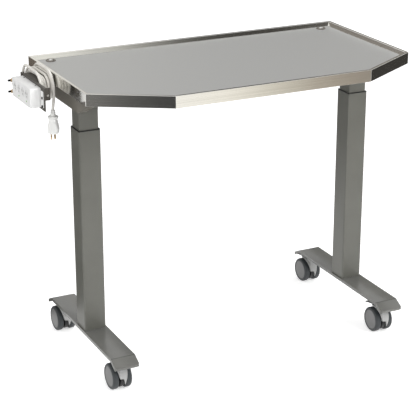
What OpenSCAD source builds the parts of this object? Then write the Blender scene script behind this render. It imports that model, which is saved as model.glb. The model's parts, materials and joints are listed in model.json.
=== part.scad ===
// Mobile instrument table: a marine-edged tray with cut front corners on two lifting
// columns, each on a foot with two twin-wheel casters. An outlet strip stands off the
// left end and its cord is wound on the spool behind it.
// X runs along the tray, Y from its front edge to its back edge, Z up from the floor.

/* [Tray] */
// Length of the tray along X
tray_l = 1160; // [1040:1:1300]
// Depth of the tray along Y
tray_d = 655; // [600:1:740]
// Length of each cut front corner along X
cut_x = 235; // [150:1:280]
// Length of each cut front corner along Y
cut_y = 141; // [90:1:170]
// Height of the rim above the floor, lift at rest
tray_h = 1000; // [960:1:1100]
// Height of the folded apron
apron_h = 39; // [34:1:60]
// Width of the fold turned in under the apron
hem_w = 12; // [8:1:20]
// Flat width of the rim
rim_w = 10; // [6:1:14]
// Depth of the tray floor below the rim
basin_depth = 13; // [8:1:18]
// Run of the sloped wall between rim and floor
basin_run = 10; // [6:1:16]
// Thickness of the tray sheet
sheet_t = 2; // [1.5:0.1:3]
// Distance of each back cup from the tray's end
cup_x = 63; // [50:1:110]
// Distance of each back cup from the tray's back edge
cup_y = 44; // [36:1:60]
// Diameter of the finishing cups
cup_dia = 34; // [28:1:40]

/* [Columns] */
// Distance of each column's axis from the tray's end
column_in = 80; // [76:1:110]
// Distance of the columns behind the tray's middle
column_y = 30; // [0:1:50]
// Width of the outer column tube
outer_w = 75; // [72:0.5:80]
// Wall of the outer column tube
outer_t = 3; // [2:0.1:3.5]
// Length of inner tube that shows between the collar and the bracket, lift at rest
tube_show = 60; // [56:1:100]
// Width of the inner column tube
inner_w = 66; // [62:0.5:67]
// Wall of the inner column tube
inner_t = 2.5; // [2:0.1:3]
// Length of the inner tube
inner_l = 635; // [600:1:660]
// Corner radius of the outer tube
tube_r = 5; // [3:0.5:8]
// Height of the black glide collar on the outer tube
collar_h = 3; // [2:0.5:5]
// Depth of the collar's sleeve inside the tube
sleeve_l = 40; // [20:1:60]
// Radius of the lift screw
screw_r = 7; // [6:0.5:9]
// Drop of the lift nut below the motor, lift at rest
nut_drop = 247; // [230:1:280]
// Radius of the lift motor
motor_r = 26; // [22:1:28]
// Length of the lift motor
motor_l = 140; // [110:1:160]

/* [Side brackets] */
// Drop of the bracket below the rim
bracket_drop = 115; // [105:1:125]
// Length of the bracket's flat bottom
bracket_flat = 197; // [150:1:205]
// Length of each tapered end
bracket_end = 110; // [80:1:112]
// Rise of each tapered end
bracket_rise = 55; // [40:1:65]
// Thickness of the bracket sheet
bracket_t = 3; // [2:0.1:4]
// Width of the bracket's top flanges
flange_w = 18; // [14:1:20]
// Depth of the cross beam along Y
beam_d = 80; // [50:1:90]
// Height of the cross beam
beam_h = 50; // [40:1:60]
// Depth of the stiffening channels
channel_h = 20; // [12:1:25]

/* [Feet] */
// Width of the foot
foot_w = 85; // [80:1:100]
// Height of the foot's top face
foot_h = 128; // [122:1:140]
// Half length of the foot's flat top
foot_flat = 270; // [255:1:300]
// Run of the bent-down ends
foot_run = 39; // [30:1:50]
// Drop of the bent-down ends
foot_drop = 20; // [14:1:21]
// Thickness of the foot plate
foot_t = 4; // [3:0.1:5]
// Height of the foot's side lips
lip_h = 10; // [7:1:14]

/* [Casters] */
// Distance of each caster's swivel axis inboard of the foot's bend
caster_in = 19; // [18:0.5:26]
// Distance of the axle behind the swivel axis
trail = 25; // [22:0.5:28]
// Wheel diameter
wheel_dia = 88; // [84:1:90]
// Width over both wheels
wheels_w = 67; // [62:1:70]
// Width of one wheel
wheel_w = 21.5; // [18:0.5:22]
// Thickness of the tyre
tyre_t = 10; // [7:0.5:12]
// Radius of the axle
axle_r = 4; // [3:0.5:5]
// Radius of the swivel stem
stem_r = 5.5; // [4:0.5:7]
// Width of the hood over the wheels
hood_w = 40; // [32:1:46]
// Width of the brake pedal
pedal_w = 36; // [30:1:40]
// Length of the brake pedal from its pins
pedal_l = 41; // [36:1:43]

/* [Outlet strip] */
// Length of the strip housing along Y
strip_l = 173; // [160:1:180]
// Height of the strip housing
strip_h = 64; // [58:1:68]
// Depth of the strip housing along X
strip_d = 36; // [28:1:44]
// Setback of the strip's near end behind the tray's middle
strip_y = 42; // [38:1:46]
// Distance of the mounting plate from the tray's end
standoff = 58; // [54:1:70]
// Drop of the plate's top edge below the rim
plate_drop = 24; // [20:1:28]
// Height of the mounting plate
plate_h = 76; // [72:1:84]
// Thickness of the mounting plate
plate_t = 3; // [2:0.1:4]
// Pitch of the outlets
outlet_pitch = 36.3; // [34:0.1:38]
// Diameter of an outlet face
outlet_dia = 31; // [28:1:33]

/* [Cord] */
// Diameter of the mains cord
cord_dia = 9; // [8:0.1:9.2]
// Diameter of the plug's body
plug_dia = 38; // [34:1:42]

/* [Hidden] */
ends = [-1, 1];
fit = 0.05;            // radial clearance of a pin in its bore
gap = 0.3;             // clearance between bodies that move
seam = 0.3;            // clearance between loose-fitting fixed pieces

// Places of the casters: name, side, end
casters = [
    ["front_left", -1, -1], ["front_right", 1, -1],
    ["back_left", -1, 1], ["back_right", 1, 1]
];
legs = [["left", -1], ["right", 1]];

// Heights that follow from the driving sizes
apron_z = tray_h - apron_h;
floor_z = tray_h - basin_depth;
under_z = floor_z - sheet_t;
bracket_z = tray_h - bracket_drop;
outer_top = bracket_z - tube_show - collar_h;
column_x = tray_l / 2 - column_in;
foot_under = foot_h - foot_t;
wheel_r = wheel_dia / 2;
axle_z = wheel_r;
boss_top = wheel_dia + 16;             // top of the caster's swivel boss
pedal_y = trail + 18;                  // the pedal's pins, from the swivel axis
pedal_z = wheel_dia + 6;
caster_y = foot_flat - caster_in;
slope = basin_run / basin_depth;
// How far the sloped wall's outer face lies from its inner face, measured level
wall_shift = sheet_t * sqrt(1 + slope * slope);

// Strip and cord, measured from the tray's left end and the rim
left_x = -tray_l / 2;
plate_x = left_x - standoff;
strip_x = plate_x - plate_t;
strip_top = 7;                         // from the plate's top edge down to the housing
strip_z = tray_h - plate_drop - strip_top;
spool_y = strip_y + 120;               // middle of the spool
spool_z = tray_h - plate_drop - 22;
spool_s = 42;                          // half of the spool's straight
post_l = 47;                           // length of the grounding posts
post_reach = standoff + plate_t + post_l;

// The origin stands on the floor under the middle of the table without its cord
mid_x = -post_reach / 2;
mid_y = (column_y + caster_y + pedal_y + pedal_l - tray_d / 2) / 2;
module place() translate([-mid_x, -mid_y, 0]) children();

tray_corners = [
    [-tray_l / 2, tray_d / 2],
    [-tray_l / 2, -tray_d / 2 + cut_y],
    [-tray_l / 2 + cut_x, -tray_d / 2],
    [tray_l / 2 - cut_x, -tray_d / 2],
    [tray_l / 2, -tray_d / 2 + cut_y],
    [tray_l / 2, tray_d / 2]
];

// An outline drawn in by d, its corners mitred. The outline turns left.
function unit(v) = v / norm(v);
function left_of(v) = [-v.y, v.x];
function drawn_in(pts, d) = let (n = len(pts)) [
    for (i = [0 : n - 1])
        let (
            a = left_of(unit(pts[i] - pts[(i + n - 1) % n])),
            b = left_of(unit(pts[(i + 1) % n] - pts[i]))
        )
        pts[i] + d * (a + b) / (1 + a * b)
];

// Solid between two outlines of the same corners at two heights
module loft(low, z_low, high, z_high) {
    n = len(low);
    polyhedron(
        points = concat([for (p = low) [p.x, p.y, z_low]], [for (p = high) [p.x, p.y, z_high]]),
        faces = concat(
            [[for (i = [0 : n - 1]) i]],
            [[for (i = [n - 1 : -1 : 0]) n + i]],
            [for (i = [0 : n - 1]) [i, n + i, n + (i + 1) % n, (i + 1) % n]]
        )
    );
}

// Level slab of the tray's outline drawn in by d
module slab(d, z_low, z_high)
    translate([0, 0, z_low]) linear_extrude(z_high - z_low) polygon(drawn_in(tray_corners, d));

module rounded_rect(w, d, r) {
    square([w - 2 * r, d], center = true);
    square([w, d - 2 * r], center = true);
    for (x = ends, y = ends) translate([x * (w / 2 - r), y * (d / 2 - r)]) circle(r, $fn = 24);
}

// Square tube standing on z = 0
module square_tube(w, t, r, h) linear_extrude(h) difference() {
    rounded_rect(w, w, r);
    rounded_rect(w - 2 * t, w - 2 * t, max(r - t, 1));
}

// Upright profile in the YZ plane, w wide along X and centred on it
module across(w) rotate([90, 0, 90]) translate([0, 0, -w / 2]) linear_extrude(w) children();

// Bar along X from x1 to x2
module bar_x(x1, x2, r, fn = 32)
    translate([x1, 0, 0]) rotate([0, 90, 0]) cylinder(r = r, h = x2 - x1, $fn = fn);

// The folded basin: its inner face, or its outer face when shifted
module basin(shift, z_low, z_high) loft(
    drawn_in(tray_corners, rim_w - shift + (tray_h - z_low) * slope), z_low,
    drawn_in(tray_corners, rim_w - shift + (tray_h - z_high) * slope), z_high
);

stud_r = 2.5;
stud_h = 11;
// Welded studs that hold the brackets' flanges
stud_y = [-bracket_end * 0.6, bracket_flat / 2, bracket_flat + bracket_end * 0.6];
module at_studs() for (side = ends, edge = ends, y = stud_y)
    translate([side * column_x + edge * (bracket_out + flange_w / 2),
        column_y - inner_w / 2 + y, under_z]) children();

module at_cups() for (side = ends)
    translate([side * (tray_l / 2 - cup_x), tray_d / 2 - cup_y, floor_z]) children();

apron_bolt_y = [spool_y - 66, spool_y + 66];
apron_bolt_z = apron_z + 10;
module at_apron_bolts() for (y = apron_bolt_y) translate([left_x, y, apron_bolt_z]) children();
apron_bolt_r = 3;
cup_bolt_r = 4;

module tray() color("silver") place() difference() {
    union() {
        difference() {
            slab(0, apron_z, tray_h);
            slab(sheet_t, apron_z - 1, tray_h + 1);
        }
        difference() {
            slab(0, apron_z, apron_z + sheet_t);
            slab(hem_w, apron_z - 1, apron_z + sheet_t + 1);
        }
        difference() {
            union() {
                slab(0, tray_h - sheet_t, tray_h);
                basin(wall_shift, under_z, tray_h);
            }
            basin(0, floor_z, tray_h + 1);
        }
        at_studs() translate([0, 0, -stud_h]) cylinder(r = stud_r, h = stud_h + 1, $fn = 16);
    }
    at_cups() translate([0, 0, -10]) cylinder(r = cup_bolt_r + gap, h = 20, $fn = 24);
    at_apron_bolts() bar_x(-1, sheet_t + 1, apron_bolt_r + fit, 24);
}

nut_t = 4;
module hex_nut(across_flats, bore_r, h) difference() {
    cylinder(d = across_flats / cos(30), h = h, $fn = 6);
    translate([0, 0, -1]) cylinder(r = bore_r, h = h + 2, $fn = 24);
}
module stud_nuts() color("gainsboro") place()
    at_studs() translate([0, 0, -bracket_t - nut_t]) hex_nut(8, stud_r + fit, nut_t);

// Dished cup with a domed screw through it, and the nut under the tray floor
cup_h = 4;
cup_seat = 1.8;        // height of the dish that the screw's head sits in
head_r = 7.5;
head_h = 4.6;
cup_nut_t = 6.5;
module corner_cups() color("gainsboro") place() at_cups() {
    rotate_extrude($fn = 36) polygon([
        [cup_bolt_r, 0], [cup_dia / 2, 0], [cup_dia / 2 - 1, cup_seat - 0.2],
        [cup_dia / 2 - 4, cup_h], [cup_dia / 2 - 5.5, cup_h], [head_r + 0.5, cup_seat],
        [cup_bolt_r, cup_seat]
    ]);
    rotate_extrude($fn = 36) polygon(concat(
        [
            [0, -sheet_t - cup_nut_t - 0.5], [cup_bolt_r, -sheet_t - cup_nut_t - 0.5],
            [cup_bolt_r, cup_seat], [head_r, cup_seat]
        ],
        [for (a = [20 : 14 : 90]) [head_r * cos(a), cup_seat + head_h * sin(a)]]
    ));
    translate([0, 0, -sheet_t - cup_nut_t]) hex_nut(2 * head_r - 2, cup_bolt_r, cup_nut_t);
}

// Two top-hat channels that stiffen the tray floor between the brackets
channel_w = 60;
channel_hat = 36;      // width of the raised part
channel_t = 2;
channel_y = [-tray_d * 0.2, tray_d * 0.3];
module tray_channels() color("darkgray") place() for (y = channel_y)
    translate([0, y, under_z]) across(2 * (column_x - bracket_out - flange_w - 2)) difference() {
        union() {
            translate([-channel_w / 2, -channel_t]) square([channel_w, channel_t]);
            translate([-channel_hat / 2, -channel_h]) square([channel_hat, channel_h]);
        }
        translate([-channel_hat / 2 + channel_t, -channel_h + channel_t])
            square([channel_hat - 2 * channel_t, channel_h]);
    }

// Folded channel that straddles the inner tube, tapered to both ends
bracket_in = inner_w / 2 + seam;
bracket_out = bracket_in + bracket_t;
function bracket_side(top) = let (y1 = -inner_w / 2, y2 = y1 + bracket_flat) [
    [y1, bracket_z], [y2, bracket_z], [y2 + bracket_end, bracket_z + bracket_rise],
    [y2 + bracket_end, top], [y1 - bracket_end, top], [y1 - bracket_end, bracket_z + bracket_rise]
];
module side_brackets() color("darkolivegreen") place() for (side = ends)
    translate([side * column_x, column_y, 0]) difference() {
        union() {
            across(2 * bracket_out) polygon(bracket_side(under_z));
            translate([-bracket_out - flange_w, -inner_w / 2 - bracket_end, under_z - bracket_t])
                cube([2 * (bracket_out + flange_w), bracket_flat + 2 * bracket_end, bracket_t]);
        }
        across(2 * bracket_in)
            polygon(drawn_in(bracket_side(under_z + 2 * bracket_t), bracket_t));
        translate([0, 0, bracket_z - 1]) linear_extrude(bracket_t + 2)
            rounded_rect(2 * bracket_in, 2 * bracket_in, tube_r);
        translate([-side * column_x, -column_y, 0]) at_studs() translate([0, 0, -2 * bracket_t])
            cylinder(r = stud_r + gap, h = 3 * bracket_t, $fn = 24);
    }

// Rectangular tube that ties both brackets together
beam_t = 2.5;
beam_r = 4;
module cross_beam() color("darkolivegreen") place()
    translate([0, column_y, bracket_z + bracket_rise / 2 + beam_h / 2 - 10])
        across(2 * (column_x - bracket_out)) difference() {
            rounded_rect(beam_d, beam_h, beam_r);
            rounded_rect(beam_d - 2 * beam_t, beam_h - 2 * beam_t, beam_r / 2);
        }

module inner_tubes() color("lightslategray") place() for (side = ends)
    translate([side * column_x, column_y, under_z - inner_l])
        square_tube(inner_w, inner_t, tube_r - 1, inner_l);

// Motor on its plate near the top of each inner tube, turning the lift screw below it
drive_top = under_z - 40;
drive_plate_t = 6;
nut_z = drive_top - motor_l - nut_drop;
nut_l = 30;
screw_below = 318;     // how far the screw runs on below the nut's lower face
screw_end = nut_z - screw_below;
module lift_drives() color("dimgray") place() for (side = ends)
    translate([side * column_x, column_y, 0]) {
        plate = inner_w - 2 * inner_t - 2 * seam;
        translate([0, 0, drive_top]) linear_extrude(drive_plate_t)
            rounded_rect(plate, plate, 3);
        translate([0, 0, drive_top - motor_l]) cylinder(r = motor_r, h = motor_l, $fn = 36);
        translate([0, 0, screw_end])
            cylinder(r = screw_r, h = drive_top - motor_l - screw_end, $fn = 24);
    }

// Switch box under the front of the tray floor, open at the top against it
box_in = 340;          // the box's middle from the tray's right edge
box_back = 92.5;       // and from its front edge
box_x = tray_l / 2 - box_in;
box_y = box_back - tray_d / 2;
box_l = 120;
box_d = 70;
box_h = 34;
box_t = 2.5;
key_w = 18;
key_d = 24;
key_out = 3;           // how far a key stands out below the box
key_lip = 3;           // how far its shoulder reaches past its edge
key_step = 24;         // each key from the box's middle
key_x = [box_x - key_step, box_x + key_step];
module control_box() color("dimgray") place() difference() {
    translate([box_x, box_y, under_z - box_h]) linear_extrude(box_h)
        rounded_rect(box_l, box_d, 6);
    translate([box_x, box_y, under_z - box_h + box_t]) linear_extrude(box_h)
        rounded_rect(box_l - 2 * box_t, box_d - 2 * box_t, 4);
    for (x = key_x) translate([x, box_y, under_z - box_h - 1]) linear_extrude(box_t + 2)
        rounded_rect(key_w + 2 * gap, key_d + 2 * gap, 3);
}

// Push key with a shoulder that keeps it in the box
module key(x) place() translate([x, box_y, under_z - box_h]) {
    translate([0, 0, -key_out]) linear_extrude(key_out + box_t + gap)
        rounded_rect(key_w, key_d, 3);
    translate([0, 0, box_t + gap]) linear_extrude(key_lip)
        rounded_rect(key_w + 2 * key_lip, key_d + 2 * key_lip, 3);
}
module button_up() color("gainsboro") key(key_x[1]);
module button_down() color("gainsboro") key(key_x[0]);

// Foot: a plate bent down at both ends, with side lips that follow the bends.
// The line that lies d below the plate's top face, from the back tip to the front tip.
foot_turn = atan(foot_drop / foot_run);
function foot_line(d) = let (
    bend = foot_flat - d * tan(foot_turn / 2),
    tip_y = foot_flat + foot_run - d * sin(foot_turn),
    tip_z = foot_h - foot_drop - d * cos(foot_turn)
) [[-tip_y, tip_z], [-bend, foot_h - d], [bend, foot_h - d], [tip_y, tip_z]];
function turned_back(v) = [for (i = [len(v) - 1 : -1 : 0]) v[i]];
lip_t = 3;
tip_r = 8;             // rounding of the plate's corners
module foot_band(w, d) across(w) polygon(concat(foot_line(0), turned_back(foot_line(d))));
module foot(side) color("gray") place() translate([side * column_x, column_y, 0])
    intersection() {
        union() {
            foot_band(foot_w, foot_t);
            for (edge = ends) translate([edge * (foot_w - lip_t) / 2, 0, 0])
                foot_band(lip_t, lip_h);
        }
        linear_extrude(foot_h + 1) rounded_rect(foot_w, 2 * (foot_flat + foot_run), tip_r);
    }

module outer_tube(side) color("slategray") place()
    translate([side * column_x, column_y, foot_h])
        square_tube(outer_w, outer_t, tube_r, outer_top - foot_h);

// Black glide: a cap on the tube's edge and a sleeve that guides the inner tube
module collar(side) color("black") place()
    translate([side * column_x, column_y, 0]) difference() {
        union() {
            translate([0, 0, outer_top]) linear_extrude(collar_h)
                rounded_rect(outer_w, outer_w, tube_r);
            translate([0, 0, outer_top - sleeve_l]) linear_extrude(sleeve_l + 1)
                rounded_rect(outer_w - 2 * outer_t, outer_w - 2 * outer_t, tube_r - outer_t);
        }
        translate([0, 0, outer_top - sleeve_l - 1]) linear_extrude(sleeve_l + collar_h + 2)
            rounded_rect(inner_w + 2 * gap, inner_w + 2 * gap, tube_r - 1 + gap);
    }

// Push tube on the foot with the nut that the lift screw runs in
push_r = screw_r + 8;
module lift_nut(side) color("darkgoldenrod") place()
    translate([side * column_x, column_y, 0]) {
        translate([0, 0, foot_h]) difference() {
            cylinder(r = push_r, h = nut_z - foot_h, $fn = 32);
            translate([0, 0, -1]) cylinder(r = push_r - 4, h = nut_z - foot_h + 2, $fn = 32);
        }
        translate([0, 0, nut_z]) difference() {
            cylinder(r = push_r + 2, h = nut_l, $fn = 32);
            translate([0, 0, -1]) cylinder(r = screw_r + gap, h = nut_l + 2, $fn = 32);
        }
    }

// Swivel stems: mounting flange, shroud over the housing's boss, and shank
boss_r = 14;
shank_l = 36;          // how far the shank goes down into the boss
flange_h = 4;
stem_flange_r = caster_in - 1.5;
module caster_stems(side) color("silver") place() for (end = ends)
    translate([side * column_x, column_y + end * caster_y, 0]) rotate_extrude($fn = 36)
        polygon([
            [0, boss_top - shank_l], [stem_r, boss_top - shank_l], [stem_r, boss_top + gap],
            [boss_r + 3, boss_top + gap], [boss_r + 3, boss_top + 6], [boss_r - 4, boss_top + 9],
            [boss_r - 4, foot_under - flange_h], [stem_flange_r, foot_under - flange_h],
            [stem_flange_r, foot_under], [0, foot_under]
        ]);

module at_caster(c) place()
    translate([c[1] * column_x, column_y + c[2] * caster_y, 0]) children();

// Housing: a web between the wheels, a hood over them, the swivel boss and pedal pins.
// Its outlines are shares of the wheel's radius, measured from the axle.
web_w = wheels_w - 2 * wheel_w - 2;
hood_in = wheel_r + 2.5;
hood_out = hood_in + 3.5;
boss_z = wheel_dia + 2.5;
pin_r = 2.5;
ear_in = web_w / 2 + gap;
ear_t = 3;
ear_r = 5.5;           // of the housing and the pedal about the pins
function by_axle(y, z) = [trail + y * wheel_r, axle_z + z * wheel_r];
web_outline = [
    [by_axle(-1, 0).x, boss_top - 6], by_axle(-1, 0.45), by_axle(-0.75, -0.2),
    by_axle(-0.23, -0.34), by_axle(0.27, -0.25), by_axle(0.48, 0.5),
    [pedal_y + ear_r - 0.5, pedal_z], [pedal_y, pedal_z + ear_r], [pedal_y - 8, pedal_z + 3],
    [pedal_y - 30, boss_top - 6]
];
module hood_ring(a1, a2) translate([trail, axle_z]) polygon(concat(
    [for (a = [a1 : (a2 - a1) / 12 : a2]) hood_out * [cos(a), sin(a)]],
    [for (a = [a2 : (a1 - a2) / 12 : a1]) hood_in * [cos(a), sin(a)]]
));
// Front view that narrows the hood to the web and the web to its tip
hood_level = wheel_dia + 4;
web_level = axle_z + 0.28 * wheel_r;
tip_level = axle_z - 0.33 * wheel_r;
module housing_front() rotate([90, 0, 0]) linear_extrude(4 * wheel_dia, center = true) polygon([
    [-2, tip_level], [2, tip_level], [web_w / 2, web_level], [hood_w / 2, hood_level],
    [hood_w / 2, boss_top], [-hood_w / 2, boss_top], [-hood_w / 2, hood_level],
    [-web_w / 2, web_level]
]);
module caster_housing(c) color("darkgray") at_caster(c) difference() {
    union() {
        intersection() {
            union() {
                across(web_w) polygon(web_outline);
                across(hood_w) hood_ring(80, 168);
            }
            housing_front();
        }
        translate([0, 0, boss_z]) cylinder(r = boss_r, h = boss_top - boss_z, $fn = 36);
        translate([0, trail, axle_z]) bar_x(-web_w / 2, web_w / 2, axle_r + 4);
        translate([0, pedal_y, pedal_z]) bar_x(-ear_in - ear_t, ear_in + ear_t, pin_r, 24);
    }
    translate([0, 0, boss_top - shank_l - 1]) cylinder(r = stem_r + fit, h = 2 * shank_l, $fn = 32);
    translate([0, trail, axle_z]) bar_x(-web_w, web_w, axle_r + fit);
}

axle_half = wheels_w / 2 - 5;
module axle(c) color("silver") at_caster(c)
    translate([0, trail, axle_z]) bar_x(-axle_half, axle_half, axle_r);

// Brake pedal: two ears on the housing's pins and a tread behind them
module brake_pedal(c) color("dimgray") at_caster(c) translate([0, pedal_y, pedal_z]) {
    for (edge = ends) translate([edge * (ear_in + ear_t / 2), 0, 0]) difference() {
        across(ear_t) {
            circle(ear_r, $fn = 32);
            polygon([[0, ear_r], [0, -ear_r], [8, -2], [8, 4]]);
        }
        bar_x(-ear_t, ear_t, pin_r + fit, 24);
    }
    across(pedal_w) polygon([
        [7.5, -1], [7.5, 4], [pedal_l * 0.6, 1], [pedal_l, -5], [pedal_l - 1, -8],
        [pedal_l * 0.55, -3]
    ]);
}

// Wheels turn about X; the profile runs from the inner face outwards
module at_wheel(c, edge) at_caster(c) translate([edge * (wheels_w / 2 - wheel_w), trail, axle_z])
    rotate([0, edge * 90, 0]) children();
rim_r = wheel_r - tyre_t;
module tyre(c, edge) color("darkslategray") at_wheel(c, edge) rotate_extrude($fn = 40) polygon([
    [rim_r, 0.5], [wheel_r - 3, 0], [wheel_r, 3.5], [wheel_r, wheel_w - 4],
    [wheel_r - 1.5, wheel_w - 1.2], [wheel_r - 4.5, wheel_w], [rim_r, wheel_w - 0.4]
]);
module hub(c, edge) color("darkgray") at_wheel(c, edge) rotate_extrude($fn = 40) polygon([
    [axle_r + fit, 0], [9, 0], [11, 4], [rim_r - 4, 4], [rim_r, 1.5], [rim_r, wheel_w - 1.2],
    [rim_r - 1.5, wheel_w - 0.6], [0, wheel_w - 0.6], [0, axle_half - wheels_w / 2 + wheel_w + gap],
    [axle_r + fit, axle_half - wheels_w / 2 + wheel_w + gap]
]);

// Strip bracket: plate with a lip and an ear, the spool core and a flange on the apron
plate_y1 = strip_y - 34;
plate_y2 = strip_y + strip_l + 17;
plate_top = tray_h - plate_drop;
lip_w = 5;             // the lip's reach past the plate, clear of the first layer of cord
flap_w = 16;           // the near flap's reach
core_r = 23;
flange_t = 3;
module strip_bracket() color("dimgray") place() difference() {
    union() {
        translate([strip_x, plate_y1, plate_top - plate_h])
            cube([plate_t, plate_y2 - plate_y1, plate_h]);
        translate([strip_x, plate_y1, plate_top - plate_t])
            cube([plate_t + lip_w, plate_y2 - plate_y1, plate_t]);
        translate([strip_x, plate_y1, plate_top - 40]) cube([plate_t + flap_w, plate_t, 40]);
        translate([plate_x - 1, spool_y, spool_z]) rotate([90, 0, 90])
            linear_extrude(standoff + 1 - flange_t + 1) difference() {
                rounded_rect(2 * (spool_s + core_r), 2 * core_r, core_r - 1);
                rounded_rect(2 * (spool_s + core_r) - 5, 2 * core_r - 5, core_r - 4);
            }
        translate([left_x - flange_t, spool_y - 78, tray_h - apron_h - 26])
            cube([flange_t, 156, apron_h + 20]);
    }
    translate([plate_x + 9, plate_y1 - 1, plate_top - 25]) rotate([-90, 0, 0])
        cylinder(r = 4, h = plate_t + 2, $fn = 24);
    at_apron_bolts() bar_x(-flange_t - 1, 1, apron_bolt_r + fit, 24);
    at_ear_screws() bar_x(-plate_t, plate_t + 1, screw_shank_r + fit, 24);
    at_posts() bar_x(-plate_t, plate_t + 1, post_shank_r + fit, 24);
}

// Strip housing: a shell open at its back, with an ear at its near end
ear_l = 28;
ear_thick = 2;
strip_t = 2.5;         // wall of the strip housing
ear_y = strip_y - 18;
screw_shank_r = 2;
post_shank_r = 2.5;
module at_ear_screws() for (z = [plate_top - 35, plate_top - 62])
    translate([strip_x, ear_y, z]) children();
module at_posts() for (z = [plate_top - 22, plate_top - 59])
    translate([strip_x, plate_y2 - 8, z]) children();
outlet_y = [for (i = [0 : 3]) strip_y + strip_l / 2 + (i - 1.5) * outlet_pitch];
outlet_z = strip_z - 25;
outlet_l = 20;         // how far an outlet goes into the housing
lamp_z = strip_z - 48;
lamp_y = [strip_y + 36, strip_y + 107];
lamp_r = 2.5;
module at_lamps() for (y = lamp_y) translate([strip_x - strip_d, y, lamp_z]) children();
module strip_block(w, d, h, r, bevel) hull() {
    linear_extrude(d - bevel) rounded_rect(w, h, r);
    linear_extrude(d) rounded_rect(w - 2 * bevel, h - 2 * bevel, r);
}
module strip_body() color("whitesmoke") place() difference() {
    union() {
        translate([strip_x, strip_y + strip_l / 2, strip_z - strip_h / 2]) rotate([90, 0, -90])
            strip_block(strip_l, strip_d, strip_h, 5, 2.5);
        translate([strip_x, ear_y, strip_z - strip_h / 2 - 1]) rotate([90, 0, -90])
            linear_extrude(ear_thick) rounded_rect(ear_l, strip_h - 10, 4);
    }
    translate([strip_x + 1, strip_y + strip_l / 2, strip_z - strip_h / 2]) rotate([90, 0, -90])
        linear_extrude(strip_d + 1 - strip_t)
            rounded_rect(strip_l - 2 * strip_t, strip_h - 2 * strip_t, 3);
    for (y = outlet_y) translate([strip_x - strip_d, y, outlet_z])
        bar_x(-1, 4, outlet_dia / 2 + fit, 36);
    at_lamps() bar_x(-1, 4, lamp_r + fit, 24);
    at_ear_screws() bar_x(-ear_thick - 1, 1, screw_shank_r + fit, 24);
}

// Outlet faces, each with two blade slots and a ground hole
blade_half = 6.35;     // half of the blades' spacing
module outlets() color("gainsboro") place() for (y = outlet_y)
    translate([strip_x - strip_d, y, outlet_z]) difference() {
        bar_x(0.6, outlet_l, outlet_dia / 2, 36);
        for (edge = ends) translate([-1, edge * blade_half - 1, 0]) cube([outlet_l - 2, 2, 8]);
        translate([0, 0, -7]) bar_x(-1, outlet_l - 3, 2.6, 24);
    }

module strip_lamps() color("yellowgreen") place() at_lamps() bar_x(-0.5, 6, lamp_r, 24);

// Black screws through the strip's ear, and the bolts that hold the flange to the apron
module strip_screws() color("black") place() {
    at_ear_screws() {
        bar_x(-ear_thick - 2.6, -ear_thick, 4, 24);
        bar_x(-ear_thick, plate_t, screw_shank_r, 24);
    }
    at_apron_bolts() {
        bar_x(sheet_t, sheet_t + 3.5, 5.5, 24);
        bar_x(-flange_t, sheet_t, apron_bolt_r, 24);
    }
}

// Brass grounding posts with dark tips, past the strip's far end
post_tip = 9;
module ground_posts() color("goldenrod") place() at_posts() {
    bar_x(post_tip - post_l, 0, 4, 24);
    bar_x(-post_l, post_tip - post_l, 2.8, 24);
    bar_x(0, plate_t, post_shank_r, 24);
}

// Tapered strain relief on the strip's hidden far end, with the cord's exit at its tip
exit_x = -81;
exit_z = -66;
relief_l = 30;
cord_home = [left_x, 0, tray_h];
module strain_relief() color("gainsboro") place()
    translate([left_x + exit_x, strip_y + strip_l, tray_h + exit_z]) rotate([-90, 0, 0])
        rotate_extrude($fn = 24) polygon(concat(
            [[0, 0], [9, 0], [9, 3]],
            [for (i = [0 : 3]) each [
                [8 - i * 0.6, 4.5 + i * 6], [8 - i * 0.6, 7.5 + i * 6],
                [7 - i * 0.5, 7.5 + i * 6], [7 - i * 0.5, 10.5 + i * 6]
            ]],
            [[5.5, relief_l], [0, relief_l]]
        ));

// Free stretch of cord from the strain relief to the winding, as [x, y, z] from the
// tray's left end, the tray's middle and the rim
lead_route = [
    [-81, 245, -66], [-80.3, 255, -67], [-76.5, 263, -68.5], [-69.5, 268, -69],
    [-61.5, 267.5, -67], [-54.5, 262.5, -62], [-50, 255.5, -54], [-48.2, 249, -44],
    [-47.8, 244, -32.5], [-47.8, 240.5, -21], [-47.8, 234, -10.5], [-47.8, 224.5, -3],
    [-47.8, 214, 0.8]
];
lead_start = [0, 1, 0];
lead_end = [0, -0.97, 0.24];
// Free stretch of cord from the winding down to the plug's boot
tail_route = [
    [-8.6, 68.2, -57], [-8.6, 68.2, -69], [-9.4, 68.7, -83], [-11.2, 69.8, -99], [-13, 71, -116]
];

function along(route, i, start, end) =
    i == 0 ? start
    : i == len(route) - 1 ? end
    : unit(route[i + 1] - route[i - 1]);

// Ring of n points about p, square to t
function ring(p, t, r, n) =
    let (
        a = unit(cross(t, abs(t.x) > 0.9 ? [0, 0, 1] : [1, 0, 0])),
        b = cross(t, a)
    )
    [for (i = [0 : n - 1]) p + r * (cos(360 * i / n) * a + sin(360 * i / n) * b)];

// Tube through a route: one ring at each point, each turned square to the way
module sweep_tube(route, r, n, start, end) {
    m = len(route);
    rings = [for (i = [0 : m - 1]) each ring(route[i], along(route, i, start, end), r, n)];
    polyhedron(
        points = rings,
        faces = concat(
            [[for (i = [0 : n - 1]) i]],
            [[for (i = [n - 1 : -1 : 0]) (m - 1) * n + i]],
            [for (j = [0 : m - 2]) for (i = [0 : n - 1]) each let (
                a = j * n + i, b = j * n + (i + 1) % n, c = b + n, d = a + n
            ) [[a, d, c], [a, c, b]]]
        )
    );
}

module cord_lead() color("whitesmoke") place() translate(cord_home)
    sweep_tube(lead_route, cord_dia / 2, 10, lead_start, lead_end);

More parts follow.
